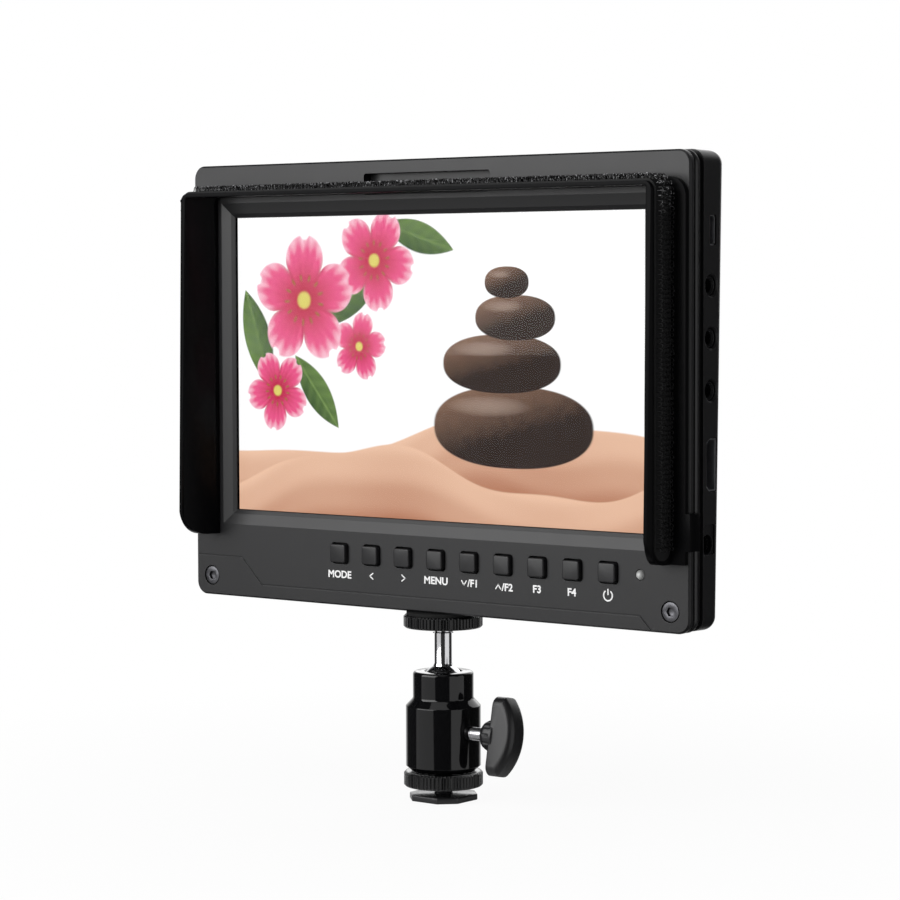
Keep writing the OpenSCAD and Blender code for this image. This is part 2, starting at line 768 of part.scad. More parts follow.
// Plug that the clamp screw's tip lifts: it carries a conical seat for the tip
module thrust_plug() {
    color(metal) difference() {
        translate([0, 0, foot_stud_top + 0.6])
            cylinder(h = plug_top - foot_stud_top - 0.6, r = bore_r - 0.05);
        translate([1.6, 0, knob_z]) rotate([0, 90, 0]) cylinder(h = 3.1, r1 = 0.9, r2 = 3.2);
        translate([4.6, 0, knob_z]) rotate([0, 90, 0]) cylinder(h = 4, r = 3.2);
    }
}

module ball_seat() {
    color([0.72, 0.6, 0.32]) difference() {
        translate([0, 0, plug_top + 0.1]) cylinder(h = 31.1 - plug_top, r = bore_r - 0.08);
        translate([0, 0, ball_z]) sphere(ball_r + 0.05);
        translate([0, 0, plug_top - 1]) cylinder(h = 10, r = 2.5, $fn = 32);
    }
}

// Polished ball and stem, with the quarter-inch stud on top
module ball_stem() {
    color(chrome) {
        translate([0, 0, ball_z]) sphere(ball_r);
        translate([0, 0, ball_z + 4]) cylinder(h = top_wheel_z - ball_z - 5.6, r = stem_r);
        translate([0, 0, ball_z + 5.6]) cylinder(h = 1.2, r1 = stem_r + 0.5, r2 = stem_r);
        translate([0, 0, top_wheel_z - 1.7]) cylinder(h = mon_z - top_wheel_z + 1.7 + 6, r = stud_r);
    }
}

module top_lock_wheel() {
    color(gloss_black) lock_wheel(top_wheel_z, top_wheel_t, thread_bore_r);
}

module wheel_pad() {
    color([0.05, 0.05, 0.05]) translate([0, 0, top_wheel_z + top_wheel_t + 0.01]) difference() {
        cylinder(h = pad_t - 0.01, r = wheel_r - 0.9);
        translate([0, 0, -eps]) cylinder(h = 3, r = thread_bore_r + 0.6);
    }
}

module clamp_screw() {
    color(chrome) translate([0, 0, knob_z]) rotate([0, 90, 0]) {
        translate([0, 0, screw_tip_x]) cylinder(h = 1.6, r1 = 0.5, r2 = screw_r, $fn = 32);
        translate([0, 0, screw_tip_x + 1.5]) cylinder(h = wing_x - screw_tip_x, r = screw_r, $fn = 32);
    }
}

// The wing: a thick disc with a rounded rim, cut down to a bar that bows outwards
module wing() {
    intersection() {
        translate([wing_x + wing_t - wing_bow_r, 0, 0]) rotate([90, 0, 0]) rotate_extrude() {
            translate([0, -wing_w / 2]) square([wing_bow_r - wing_round, wing_w]);
            translate([0, wing_round - wing_w / 2]) square([wing_bow_r, wing_w - 2 * wing_round]);
            for (y = [-1, 1]) translate([wing_bow_r - wing_round, y * (wing_w / 2 - wing_round)])
                circle(wing_round);
        }
        translate([wing_x, 0, 0]) rotate([90, 0, 90]) linear_extrude(wing_t + 1)
            rounded_rect(wing_w, knob_l, 3);
    }
}

// Wing knob: bell-shaped fluted collar and the wing
module clamp_knob() {
    color(shell_black) translate([0, 0, knob_z]) rotate([-wing_tilt, 0, 0]) difference() {
        union() {
            rotate([0, 90, 0]) translate([0, 0, collar_x]) rotate_extrude()
                polygon([[0, 0], [2.7, 0], [4.1, 1.1], [4.75, 2.4], [4.75, wing_x - collar_x + 1], [0, 6]]);
            wing();
        }
        rotate([0, 90, 0]) cylinder(h = wing_x + 1.6, r = screw_r + 0.02, $fn = 32);
        for (a = [0:30:330]) rotate([a, 0, 0]) translate([collar_x + 1, 4.95, 0])
            rotate([0, 90, 0]) cylinder(h = wing_x - collar_x - 1, r = 0.5, $fn = 16);
    }
}

front_frame();
rear_shell();
window_glass();
lcd_panel();
backlight_tray();
main_board();
board_standoffs();
screen_ribbon();
key_board();
tact_switches();
led_lens();
front_screws();
rear_screws();
data_socket();
audio_jack(jack_z[2]);  // jack_upper
audio_jack(jack_z[1]);  // jack_middle
audio_jack(jack_z[0]);  // jack_lower
video_socket();
dc_socket();
tripod_insert();
key(0);  // key_mode
key(1);  // key_left
key(2);  // key_right
key(3);  // key_menu
key(4);  // key_down
key(5);  // key_up
key(6);  // key_f3
key(7);  // key_f4
key(8);  // key_power
hood_frame();
hook_tape();
shoe_foot();
foot_lock_wheel();
head_body();
head_base();
thrust_plug();
ball_seat();
ball_stem();
top_lock_wheel();
wheel_pad();
clamp_screw();
clamp_knob();
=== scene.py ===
"""Looks of a camera field monitor with a slide-on sun hood, carried on a shoe-mount ball head."""

import json
import logging
import math
import random
from contextlib import contextmanager
from dataclasses import dataclass, field
from enum import Enum
from typing import Any, Callable, Iterator, Sequence, Union

import bmesh
import bpy
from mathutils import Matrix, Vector


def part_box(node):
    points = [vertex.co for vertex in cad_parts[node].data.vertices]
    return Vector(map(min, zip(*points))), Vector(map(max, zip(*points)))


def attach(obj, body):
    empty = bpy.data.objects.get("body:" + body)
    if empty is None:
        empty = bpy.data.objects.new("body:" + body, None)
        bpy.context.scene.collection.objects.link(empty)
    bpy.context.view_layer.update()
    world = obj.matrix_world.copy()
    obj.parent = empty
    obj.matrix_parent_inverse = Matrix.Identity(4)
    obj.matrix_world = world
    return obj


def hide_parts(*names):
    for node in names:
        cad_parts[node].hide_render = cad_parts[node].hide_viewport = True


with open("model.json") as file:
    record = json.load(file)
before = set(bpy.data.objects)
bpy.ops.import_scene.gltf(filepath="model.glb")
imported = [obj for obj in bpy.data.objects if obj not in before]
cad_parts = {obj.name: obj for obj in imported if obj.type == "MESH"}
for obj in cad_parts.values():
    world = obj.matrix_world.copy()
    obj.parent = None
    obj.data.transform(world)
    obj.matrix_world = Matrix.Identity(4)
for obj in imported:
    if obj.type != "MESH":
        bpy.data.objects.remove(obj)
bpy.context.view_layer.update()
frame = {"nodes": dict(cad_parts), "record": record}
log = logging.getLogger("field_monitor")

MM = 0.001
Colour = tuple[float, float, float]
Value = Union[float, int, "Wire"]


# ---- shader writing ----


class Wire:
    """A number that changes over a surface, which Python's operators extend."""

    def __init__(self, tree: "Tree", socket: bpy.types.NodeSocket) -> None:
        """Wraps an output socket.

        Args:
            tree: The tree that the socket belongs to.
            socket: The output socket.
        """
        self.tree = tree
        self.socket = socket

    def math(self, operation: str, *others: Value, clamp: bool = False) -> "Wire":
        """Adds a Math node behind this value.

        Args:
            operation: Blender's name of the operation.
            others: The other operands.
            clamp: Whether the result is held between 0 and 1.

        Returns:
            The result.
        """
        values = dict(enumerate((self, *others)))
        node = self.tree.add("ShaderNodeMath", values, operation=operation, use_clamp=clamp)
        return Wire(self.tree, node.outputs[0])

    def __add__(self, other: Value) -> "Wire":
        """Adds a number."""
        return self.math("ADD", other)

    __radd__ = __add__

    def __mul__(self, other: Value) -> "Wire":
        """Multiplies by a number."""
        return self.math("MULTIPLY", other)

    __rmul__ = __mul__

    def __sub__(self, other: Value) -> "Wire":
        """Subtracts a number."""
        return self.math("SUBTRACT", other)

    def __rsub__(self, other: Value) -> "Wire":
        """Subtracts this from a number."""
        return self.math("MULTIPLY", -1.0).math("ADD", other)

    def __truediv__(self, other: Value) -> "Wire":
        """Divides by a number."""
        return self.math("DIVIDE", other)

    def __pow__(self, other: Value) -> "Wire":
        """Raises to a power."""
        return self.math("POWER", other)

    def __abs__(self) -> "Wire":
        """Drops the sign."""
        return self.math("ABSOLUTE")

    def above(self, edge: Value, soft: float) -> "Wire":
        """Gives 1 where this is above an edge, with a soft change.

        Args:
            edge: The value of the edge.
            soft: The width of the change.

        Returns:
            A mask from 0 to 1.
        """
        return (self - edge).math("MULTIPLY_ADD", 1 / soft, 0.5, clamp=True)

    def below(self, edge: Value, soft: float) -> "Wire":
        """Gives 1 where this is below an edge, with a change of width soft."""
        return 1 - self.above(edge, soft)


class Tree:
    """The nodes of one material or world, added by one method."""

    def __init__(self, owner: Any) -> None:
        """Empties the owner's node tree.

        Args:
            owner: A material or world.
        """
        owner.use_nodes = True
        self.nodes = owner.node_tree.nodes
        self.links = owner.node_tree.links
        self.nodes.clear()

    def add(self, kind: str, sockets: dict[Any, Any] | None = None, **settings: Any) -> bpy.types.Node:
        """Adds a node.

        Args:
            kind: Blender's name of the node's type.
            sockets: A value, a Wire or an output socket for each input, by name or index.
            settings: The node's own settings, which are set first.

        Returns:
            The node.
        """
        node = self.nodes.new(kind)
        for name, value in settings.items():
            setattr(node, name, value)
        for key, value in (sockets or {}).items():
            source = value.socket if isinstance(value, Wire) else value
            if isinstance(source, bpy.types.NodeSocket):
                self.links.new(source, node.inputs[key])
            else:
                node.inputs[key].default_value = source
        return node

    def place(self) -> tuple[Wire, Wire, Wire]:
        """Gives the place on the object, in millimetres along X, Y and Z."""
        coordinates = self.add("ShaderNodeTexCoord").outputs["Object"]
        split = self.add("ShaderNodeSeparateXYZ", {0: coordinates})
        x, y, z = (Wire(self, split.outputs[i]) * (1 / MM) for i in range(3))
        return x, y, z

    def noise(self, size: float, detail: float = 2.0) -> Wire:
        """Gives soft noise whose grains are about a size, in millimetres, across."""
        coordinates = self.add("ShaderNodeTexCoord").outputs["Object"]
        sockets = {"Vector": coordinates, "Scale": 1 / (size * MM), "Detail": detail}
        return Wire(self, self.add("ShaderNodeTexNoise", sockets).outputs[0])

    def mix(self, factor: Value, first: Any, second: Any) -> bpy.types.NodeSocket:
        """Mixes two colours by a factor."""
        sockets = {0: factor, 6: rgba(first), 7: rgba(second)}
        return self.add("ShaderNodeMix", sockets, data_type="RGBA").outputs[2]

    def rounded(self, radius: float) -> tuple[bpy.types.NodeSocket, Wire]:
        """Rounds the edges in the shading.

        Args:
            radius: The radius of the edges in millimetres.

        Returns:
            The rounded normal, and a mask that is 1 on the edges.
        """
        normal = self.add("ShaderNodeBevel", {"Radius": radius * MM}, samples=6).outputs[0]
        flat = self.add("ShaderNodeNewGeometry").outputs["Normal"]
        dot = self.add("ShaderNodeVectorMath", {0: normal, 1: flat}, operation="DOT_PRODUCT")
        return normal, Wire(self, dot.outputs["Value"]).below(0.93, 0.1)

    def bump(self, height: Wire, depth: float, normal: Any = None) -> bpy.types.NodeSocket:
        """Raises the surface by a height from 0 to 1 times a depth in millimetres."""
        sockets = {"Height": height, "Distance": depth * MM, "Strength": 1.0}
        if normal is not None:
            sockets["Normal"] = normal
        return self.add("ShaderNodeBump", sockets).outputs[0]

    def surface(self, sockets: dict[str, Any]) -> None:
        """Ends the tree with a Principled shader that has these inputs."""
        shader = self.add("ShaderNodeBsdfPrincipled", sockets)
        self.add("ShaderNodeOutputMaterial", {"Surface": shader.outputs[0]})


def rgba(colour: Any) -> Any:
    """Gives a colour its alpha, and leaves a socket as it is."""
    return (*colour, 1.0) if isinstance(colour, tuple) and len(colour) == 3 else colour


# ---- finishes ----


@dataclass(frozen=True)
class Finish:
    """A plain smooth finish, and the base of the others."""

    name: str
    colour: Colour
    roughness: float = 0.5
    specular: float = 0.5

    def material(self) -> bpy.types.Material:
        """Gives the finish's material, made once."""
        label = self.name + "_finish"
        made = bpy.data.materials.get(label)
        if made is None:
            made = bpy.data.materials.new(label)
            self.write(Tree(made))
        return made

    def write(self, tree: Tree) -> None:
        """Writes the material's nodes into a tree."""
        blotch = tree.noise(6.0)
        tree.surface({
            "Base Color": tree.mix(blotch, self.colour, tuple(c * 1.15 for c in self.colour)),
            "Roughness": blotch * 0.08 + (self.roughness - 0.04),
            "Specular IOR Level": self.specular,
        })


@dataclass(frozen=True)
class MouldedPlastic(Finish):
    """Fine-textured moulded plastic with softly rounded, slightly polished edges."""

    grain: float = 0.34
    relief: float = 0.01
    edge: float = 0.18
    edge_light: float = 2.2

    def write(self, tree: Tree) -> None:
        """Writes the material's nodes into a tree."""
        normal, edges = tree.rounded(self.edge)
        grain = tree.noise(self.grain, 1.0)
        blotch = tree.noise(9.0, 3.0)
        body = tree.mix(blotch, tuple(c * 0.94 for c in self.colour), tuple(c * 1.06 for c in self.colour))
        wear_and_glints = tuple(c * self.edge_light for c in self.colour)
        tree.surface({
            "Base Color": tree.mix(edges * 0.6, body, wear_and_glints),
            "Roughness": blotch * 0.06 + edges * -0.08 + (self.roughness - 0.03),
            "Specular IOR Level": self.specular,
            "Normal": tree.bump(grain, self.relief, normal),
        })


@dataclass(frozen=True)
class FlutedPaint(Finish):
    """Gloss paint on a wheel about Z whose rim has fine flutes between its cut finger grooves."""

    flutes: int = 60
    depth: float = 0.16
    rim: float = 11.2

    def write(self, tree: Tree) -> None:
        """Writes the material's nodes into a tree."""
        normal, edges = tree.rounded(0.08)
        x, y, _ = tree.place()
        out = (x * x + y * y).math("SQRT")
        flute = abs((y.math("ARCTAN2", x) * (self.flutes / 2)).math("COSINE")) * out.above(self.rim, 0.4)
        blotch = tree.noise(4.0, 3.0)
        tree.surface({
            "Base Color": tree.mix(edges * 0.6, self.colour, tuple(c * 2.5 for c in self.colour)),
            "Roughness": blotch * 0.06 + (self.roughness - 0.03),
            "Specular IOR Level": self.specular,
            "Normal": tree.bump(flute, self.depth, normal),
        })


@dataclass(frozen=True)
class HookNylon(Finish):
    """Glossy black nylon wire with painted glints: light specks painted along the top, where the light
    catches the hooks, fading out down the sides, which stay dull black.
    """

    # The colour of the painted glints, and the height and width of the band along the top where they are
    # painted.
    glint_colour: Colour = (0.30, 0.30, 0.31)
    top: float = 177.0
    fade: float = 7.0

    def write(self, tree: Tree) -> None:
        """Writes the material's nodes into a tree."""
        # Painted glints: a noise of light specks painted on the hooks above a height, where the light catches
        # them along the top; lower down the hooks stay black and rougher.
        lit_top = tree.place()[2].above(self.top, self.fade)
        wear_and_glints = tree.noise(0.8, 2.0).above(0.6, 0.08) * lit_top
        tree.surface({
            "Base Color": tree.mix(wear_and_glints, self.colour, self.glint_colour),
            "Roughness": wear_and_glints * 0.15 + self.roughness + (1 - lit_top) * 0.5,
            "Specular IOR Level": self.specular,
        })


@dataclass(frozen=True)
class Lacquer(Finish):
    """Gloss paint over metal, with a faint orange peel."""

    peel: float = 1.6
    relief: float = 0.0009

    def write(self, tree: Tree) -> None:
        """Writes the material's nodes into a tree."""
        normal, _ = tree.rounded(0.15)
        dust = tree.noise(0.7, 4.0)
        tree.surface({
            "Base Color": tree.mix(dust, self.colour, tuple(c * 1.3 for c in self.colour)),
            "Roughness": dust * 0.05 + self.roughness,
            "Specular IOR Level": self.specular,
            "Normal": tree.bump(tree.noise(self.peel), self.relief, normal),
        })


@dataclass(frozen=True)
class BareMetal(Finish):
    """Polished or turned metal with fine lathe lines along one axis."""

    lines: float = 0.12
    relief: float = 0.0006
    axis: int = 2

    def write(self, tree: Tree) -> None:
        """Writes the material's nodes into a tree."""
        along = tree.place()[self.axis]
        sockets = {"W": along / self.lines, "Scale": 1.0, "Detail": 3.0}
        lathe = Wire(tree, tree.add("ShaderNodeTexNoise", sockets, noise_dimensions="1D").outputs[0])
        smear = tree.noise(3.0, 3.0)
        tree.surface({
            "Base Color": tree.mix(smear, self.colour, tuple(c * 0.93 for c in self.colour)),
            "Metallic": 1.0,
            "Roughness": smear * 0.05 + lathe * 0.03 + self.roughness,
            "Normal": tree.bump(lathe, self.relief, tree.rounded(0.1)[0]),
        })


@dataclass(frozen=True)
class CircuitBoard(Finish):
    """Solder resist over a maze of copper tracks."""

    def write(self, tree: Tree) -> None:
        """Writes the material's nodes into a tree."""
        x, _, z = tree.place()
        across = (x / 1.3 + tree.noise(7.0)).math("FRACT")
        along = (z / 1.7 + tree.noise(9.0)).math("FRACT")
        track = across.below(0.35, 0.1).math("MAXIMUM", along.below(0.25, 0.1))
        tree.surface({
            "Base Color": tree.mix(track, self.colour, tuple(min(1.0, c * 1.9) for c in self.colour)),
            "Roughness": self.roughness,
            "Normal": tree.bump(track, 0.03),
        })


@dataclass(frozen=True)
class ClearWindow(Finish):
    """A clear coated sheet in front of the picture."""

    def write(self, tree: Tree) -> None:
        """Writes the material's nodes into a tree."""
        tree.surface({
            "Base Color": rgba(self.colour),
            "Roughness": tree.noise(20.0) * 0.01 + self.roughness,
            "IOR": 1.12,
            "Transmission Weight": 1.0,
        })


@dataclass(frozen=True)
class FrostedLens(Finish):
    """Milky plastic over a lamp that is off, brightest in its middle."""

    centre_x: float = 76.9
    centre_z: float = 72.9

    def write(self, tree: Tree) -> None:
        """Writes the material's nodes into a tree."""
        x, _, z = tree.place()
        dx, dz = x - self.centre_x, z - self.centre_z
        out = (dx * dx + dz * dz).math("SQRT")
        cloud = tree.noise(0.5, 2.0)
        core = out.below(0.7, 1.2) * (cloud * 0.6 + 0.6)
        tree.surface({
            "Base Color": tree.mix(core, tuple(c * 0.35 for c in self.colour), self.colour),
            "Roughness": cloud * 0.1 + self.roughness,
            "Coat Weight": 0.3,
        })


@dataclass(frozen=True)
class Blossom:
    """Where a flower of the picture stands, in millimetres from the picture's centre."""

    x: float
    z: float
    radius: float
    turn: float


@dataclass(frozen=True)
class LitPicture(Finish):
    """The lit picture: pink blossoms, green leaves, smooth stones and sand on a white ground."""

    half_w: float = 77.3
    half_h: float = 45.6
    centre_z: float = 130.0
    strength: float = 1.0
    sand: Colour = (0.83, 0.53, 0.37)
    sand_shade: Colour = (0.42, 0.16, 0.085)
    pink: Colour = (0.80, 0.085, 0.24)
    deep: Colour = (0.46, 0.006, 0.035)
    pale: Colour = (0.97, 0.66, 0.75)
    leaf: Colour = (0.030, 0.075, 0.018)
    leaf_light: Colour = (0.16, 0.27, 0.07)
    stone: Colour = (0.022, 0.012, 0.009)
    stone_light: Colour = (0.30, 0.17, 0.11)
    stone_shine: Colour = (0.62, 0.48, 0.40)
    blossoms: tuple[Blossom, ...] = (
        Blossom(-50.0, 20.0, 20.0, 0.3),
        Blossom(-22.0, 32.0, 15.5, 1.1),
        Blossom(-61.0, -8.0, 12.5, 0.8),
        Blossom(-28.0, 6.0, 10.5, 0.1),
    )
    leaves: tuple[Blossom, ...] = (
        Blossom(-33.0, 20.0, 16.0, 0.5),
        Blossom(-69.0, 8.0, 16.0, 1.9),
        Blossom(-5.0, 39.0, 14.0, -0.3),
        Blossom(-45.0, -8.0, 14.0, -0.9),
    )
    stones: tuple[tuple[float, float, float, float], ...] = (
        (30.0, -17.0, 29.0, 12.0),
        (26.0, 1.5, 21.5, 8.6),
        (31.0, 15.0, 14.5, 6.6),
        (28.0, 25.3, 8.0, 4.6),
    )

    def write(self, tree: Tree) -> None:
        """Writes the material's nodes into a tree."""
        x, _, height = tree.place()
        z = height - self.centre_z
        picture = rgba((1.0, 1.0, 1.0))
        for leaf in self.leaves:
            picture = self.paint_leaf(tree, picture, x, z, leaf)
        for level, wave, shift in ((-21.0, 30.0, 0.4), (-31.0, 22.0, 2.6)):
            picture = self.paint_sand(tree, picture, x, z, (level, wave, shift))
        for stone in self.stones:
            picture = self.paint_stone(tree, picture, x, z, stone)
        for blossom in reversed(self.blossoms):
            picture = self.paint_blossom(tree, picture, x, z, blossom)
        inside = abs(x).below(self.half_w, 0.02) * abs(z).below(self.half_h, 0.02)
        tree.surface({
            "Base Color": rgba(self.colour),
            "Roughness": tree.noise(15.0) * 0.1 + self.roughness,
            "Specular IOR Level": self.specular,
            "Emission Color": tree.mix(inside, (0.0, 0.0, 0.0), picture),
            "Emission Strength": self.strength,
        })

    def paint_sand(
        self, tree: Tree, picture: Any, x: Wire, z: Wire, dune: tuple[float, float, float]
    ) -> Any:
        """Lays a dune over the picture.

        Args:
            tree: The material's tree.
            picture: The colour below.
            x: The place across.
            z: The place upwards.
            dune: The ridge's height, its wave length and its shift.

        Returns:
            The new colour.
        """
        level, wave, shift = dune
        ridge = (x / wave + shift).math("SINE") * 7 + (x / (wave * 0.37) + shift).math("SINE") * 1.6 + level
        depth = ridge - z
        ripple = ((depth / 1.5) + (x / 9).math("SINE") * 1.2).math("SINE") * 0.06
        shade = (depth / 26 + ripple).math("MULTIPLY", 1.0, clamp=True)
        colour = tree.mix(shade, self.sand, self.sand_shade)
        return tree.mix(depth.above(0.0, 0.5), picture, colour)

    def paint_stone(
        self, tree: Tree, picture: Any, x: Wire, z: Wire, stone: tuple[float, float, float, float]
    ) -> Any:
        """Lays a smooth flat stone over the picture, lit from above."""
        cx, cz, half_w, half_h = stone
        u, v = (x - cx) / half_w, (z - cz) / half_h
        out = abs(u) ** 2.3 + abs(v) ** 2.3
        light = (v * 0.5 - u * 0.3 + tree.noise(2.5, 4.0) * 0.3 - 0.05).math("MULTIPLY", 1.0, clamp=True)
        colour = tree.mix(light, self.stone, self.stone_light)
        shine = abs(u + 0.3) ** 2 * 2.2 + abs(v - 0.5) ** 2 * 9
        colour = tree.mix(shine.below(0.3, 0.7) * 0.35, colour, self.stone_shine)
        return tree.mix(out.below(1.0, 0.06), picture, colour)

    def paint_leaf(self, tree: Tree, picture: Any, x: Wire, z: Wire, leaf: Blossom) -> Any:
        """Lays a pointed leaf with a midrib over the picture."""
        dx, dz = x - leaf.x, z - leaf.z
        along = dx * math.cos(leaf.turn) + dz * math.sin(leaf.turn)
        across = dz * math.cos(leaf.turn) - dx * math.sin(leaf.turn)
        reach = abs(along / leaf.radius)
        half = (1 - reach * reach) * (leaf.radius * 0.33)
        rib = abs(across).below(0.35, 0.3)
        vein = ((along + abs(across) * -0.9) * 1.4).math("SINE") * 0.12
        tone = (across / leaf.radius + vein + 0.45).math("ADD", rib * 0.5, clamp=True)
        colour = tree.mix(tone, self.leaf, self.leaf_light)
        return tree.mix((half - abs(across)).above(0.0, 0.4), picture, colour)

    def paint_blossom(self, tree: Tree, picture: Any, x: Wire, z: Wire, blossom: Blossom) -> Any:
        """Lays a five-petalled blossom over the picture, deep in its middle and pale at its rim."""
        dx, dz = x - blossom.x, z - blossom.z
        out = (dx * dx + dz * dz).math("SQRT") / blossom.radius
        angle = dz.math("ARCTAN2", dx) - blossom.turn
        petal = abs((angle * 2.5).math("COSINE"))
        notch = petal.above(0.985, 0.02) * 0.07
        rim = petal ** 0.55 * 0.48 + 0.52 - notch
        streak = (angle * 30).math("SINE") * 0.05
        share = (out / rim + streak).math("MULTIPLY", 1.0, clamp=True)
        inner = tree.mix(share.above(0.4, 0.6), self.deep, self.pink)
        colour = tree.mix(share.above(0.93, 0.3), inner, self.pale)
        crease = petal.below(0.22, 0.25) * out.above(0.2, 0.2) * 0.55
        colour = tree.mix(crease, colour, self.deep)
        dots = abs((angle * 6.5).math("COSINE")).above(0.93, 0.06) * abs(out - 0.34).below(0.05, 0.03)
        colour = tree.mix(dots, colour, (0.35, 0.14, 0.03))
        colour = tree.mix(out.below(0.13, 0.05), colour, (0.70, 0.62, 0.14))
        return tree.mix(out.below(rim, 0.03), picture, colour)


FRAME_PLASTIC = MouldedPlastic("frame_plastic", (0.012, 0.012, 0.013), 0.38)
KEY_PLASTIC = MouldedPlastic("key_plastic", (0.010, 0.010, 0.011), 0.36)
SHELL_PLASTIC = MouldedPlastic("shell_plastic", (0.007, 0.007, 0.008), 0.38, edge_light=3.0)
HOOD_PLASTIC = MouldedPlastic("hood_plastic", (0.0025, 0.0025, 0.003), 0.34, 0.06, edge=0.12, edge_light=2.5)
SOCKET_PLASTIC = MouldedPlastic("socket_plastic", (0.008, 0.008, 0.009), 0.25, edge=0.1)
SWITCH_PLASTIC = MouldedPlastic("switch_plastic", (0.09, 0.09, 0.09), 0.5)
KNOB_PLASTIC = MouldedPlastic("knob_plastic", (0.012, 0.012, 0.013), 0.34, edge=0.5)
FOOT_PAINT = MouldedPlastic("foot_paint", (0.018, 0.018, 0.019), 0.22, edge=0.2)
WHEEL_PAINT = FlutedPaint("wheel_paint", (0.004, 0.004, 0.0045), 0.18, 0.5)
HEAD_LACQUER = Lacquer("head_lacquer", (0.003, 0.003, 0.0035), 0.05)
BLACK_SCREW = BareMetal("black_oxide", (0.13, 0.13, 0.14), 0.32, axis=1)
CHROME = BareMetal("chrome", (0.86, 0.86, 0.88), 0.05)
CHROME_X = BareMetal("chrome_turned", (0.86, 0.86, 0.88), 0.12, axis=0)
PLATED = BareMetal("plated_steel", (0.60, 0.61, 0.63), 0.28)
TURNED = BareMetal("turned_aluminium", (0.62, 0.63, 0.65), 0.3)
BRASS = BareMetal("brass", (0.74, 0.56, 0.26), 0.25)
TRAY_METAL = BareMetal("tray_metal", (0.55, 0.56, 0.58), 0.4, lines=0.3)
BOARD = CircuitBoard("solder_resist", (0.012, 0.10, 0.045), 0.35)
RIBBON = Finish("ribbon_film", (0.36, 0.20, 0.05), 0.4)
PAD_RUBBER = MouldedPlastic("pad_rubber", (0.012, 0.012, 0.012), 0.8, 0.2)
WINDOW = ClearWindow("window", (1.0, 1.0, 1.0), 0.0)
PICTURE = LitPicture("lit_picture", (0.004, 0.004, 0.004), 0.5, 0.05)
LENS = FrostedLens("led_lens", (0.62, 0.63, 0.62), 0.4)
INK = Finish("legend_ink", (0.86, 0.86, 0.86), 0.5, 0.3)
HOOK_NYLON = HookNylon("hook_nylon", (0.004, 0.004, 0.0045), 0.16, 0.4)
TAPE_WEAVE = MouldedPlastic("tape_weave", (0.006, 0.006, 0.0065), 0.6, 0.3, grain=0.5, relief=0.06, edge=0.05)

NODE_FINISHES = {
    "front_frame": FRAME_PLASTIC, "rear_shell": SHELL_PLASTIC, "window_glass": WINDOW,
    "lcd_panel": PICTURE, "backlight_tray": TRAY_METAL, "main_board": BOARD, "key_board": BOARD,
    "tact_switches": SWITCH_PLASTIC, "led_lens": LENS, "front_screws": BLACK_SCREW,
    "rear_screws": PLATED, "data_socket": PLATED, "jack_upper": SOCKET_PLASTIC,
    "jack_middle": SOCKET_PLASTIC, "jack_lower": SOCKET_PLASTIC, "video_socket": PLATED,
    "dc_socket": SOCKET_PLASTIC, "tripod_insert": BRASS, "board_standoffs": PLATED,
    "screen_ribbon": RIBBON, "hood_frame": HOOD_PLASTIC, "hook_tape": TAPE_WEAVE,
    "shoe_foot": FOOT_PAINT, "foot_lock_wheel": WHEEL_PAINT, "head_body": HEAD_LACQUER,
    "head_base": TURNED, "thrust_plug": TURNED, "ball_seat": BRASS, "ball_stem": CHROME,
    "top_lock_wheel": WHEEL_PAINT, "wheel_pad": PAD_RUBBER, "clamp_screw": CHROME_X,
    "clamp_knob": KNOB_PLASTIC,
}


# ---- modelling ----


class Pick(Enum):
    """What is selected in edit mode."""

    VERTS = "VERT"
    EDGES = "EDGE"
    FACES = "FACE"


def activate(obj: bpy.types.Object) -> bpy.types.Object:
    """Selects one object alone and makes it active."""
    bpy.ops.object.select_all(action="DESELECT")
    obj.select_set(True)
    bpy.context.view_layer.objects.active = obj
    return obj


@contextmanager
def editing(obj: bpy.types.Object, pick: Pick = Pick.FACES) -> Iterator[None]:
    """Opens an object in edit mode with nothing selected.

    Args:
        obj: The object.
        pick: What is selected.
    """
    activate(obj)
    bpy.ops.object.mode_set(mode="EDIT")
    bpy.ops.mesh.select_mode(type=pick.value)
    bpy.ops.mesh.select_all(action="DESELECT")
    try:
        yield
    finally:
        bpy.ops.object.mode_set(mode="OBJECT")


def select(obj: bpy.types.Object, pick: Pick, test: Callable[[Any], bool]) -> int:
    """Selects, in edit mode, the elements that pass a test.

    Args:
        obj: The object in edit mode.
        pick: The kind of element.
        test: Says whether an element is wanted.

    Returns:
        How many were selected.
    """
    mesh = bmesh.from_edit_mesh(obj.data)
    elements = {Pick.VERTS: mesh.verts, Pick.EDGES: mesh.edges, Pick.FACES: mesh.faces}[pick]
    wanted = [e for e in elements if test(e)]
    for element in wanted:
        element.select_set(True)
    mesh.select_flush_mode()
    bmesh.update_edit_mesh(obj.data)
    return len(wanted)


def modify(obj: bpy.types.Object, kind: str, **settings: Any) -> None:
    """Adds a modifier with settings and applies it."""
    activate(obj)
    modifier = obj.modifiers.new(kind.lower(), kind)
    for name, value in settings.items():
        setattr(modifier, name, value)
    bpy.ops.object.modifier_apply(modifier=modifier.name)


def applied(obj: bpy.types.Object) -> bpy.types.Object:
    """Moves an object's place, turn and scale into its mesh."""
    activate(obj)
    bpy.ops.object.transform_apply(location=True, rotation=True, scale=True)
    return obj


def primitive(kind: str, **settings: Any) -> bpy.types.Object:
    """Adds one of Blender's mesh primitives, with nothing else selected.

    Args:
        kind: Its name, such as cube or cylinder.
        settings: Its size and place.

    Returns:
        The new object.
    """
    bpy.ops.object.select_all(action="DESELECT")
    getattr(bpy.ops.mesh, f"primitive_{kind}_add")(**settings)
    return applied(bpy.context.active_object)


def block(low: Vector, high: Vector) -> bpy.types.Object:
    """Adds a box between two corners."""
    return primitive("cube", size=1, location=(low + high) / 2, scale=high - low)


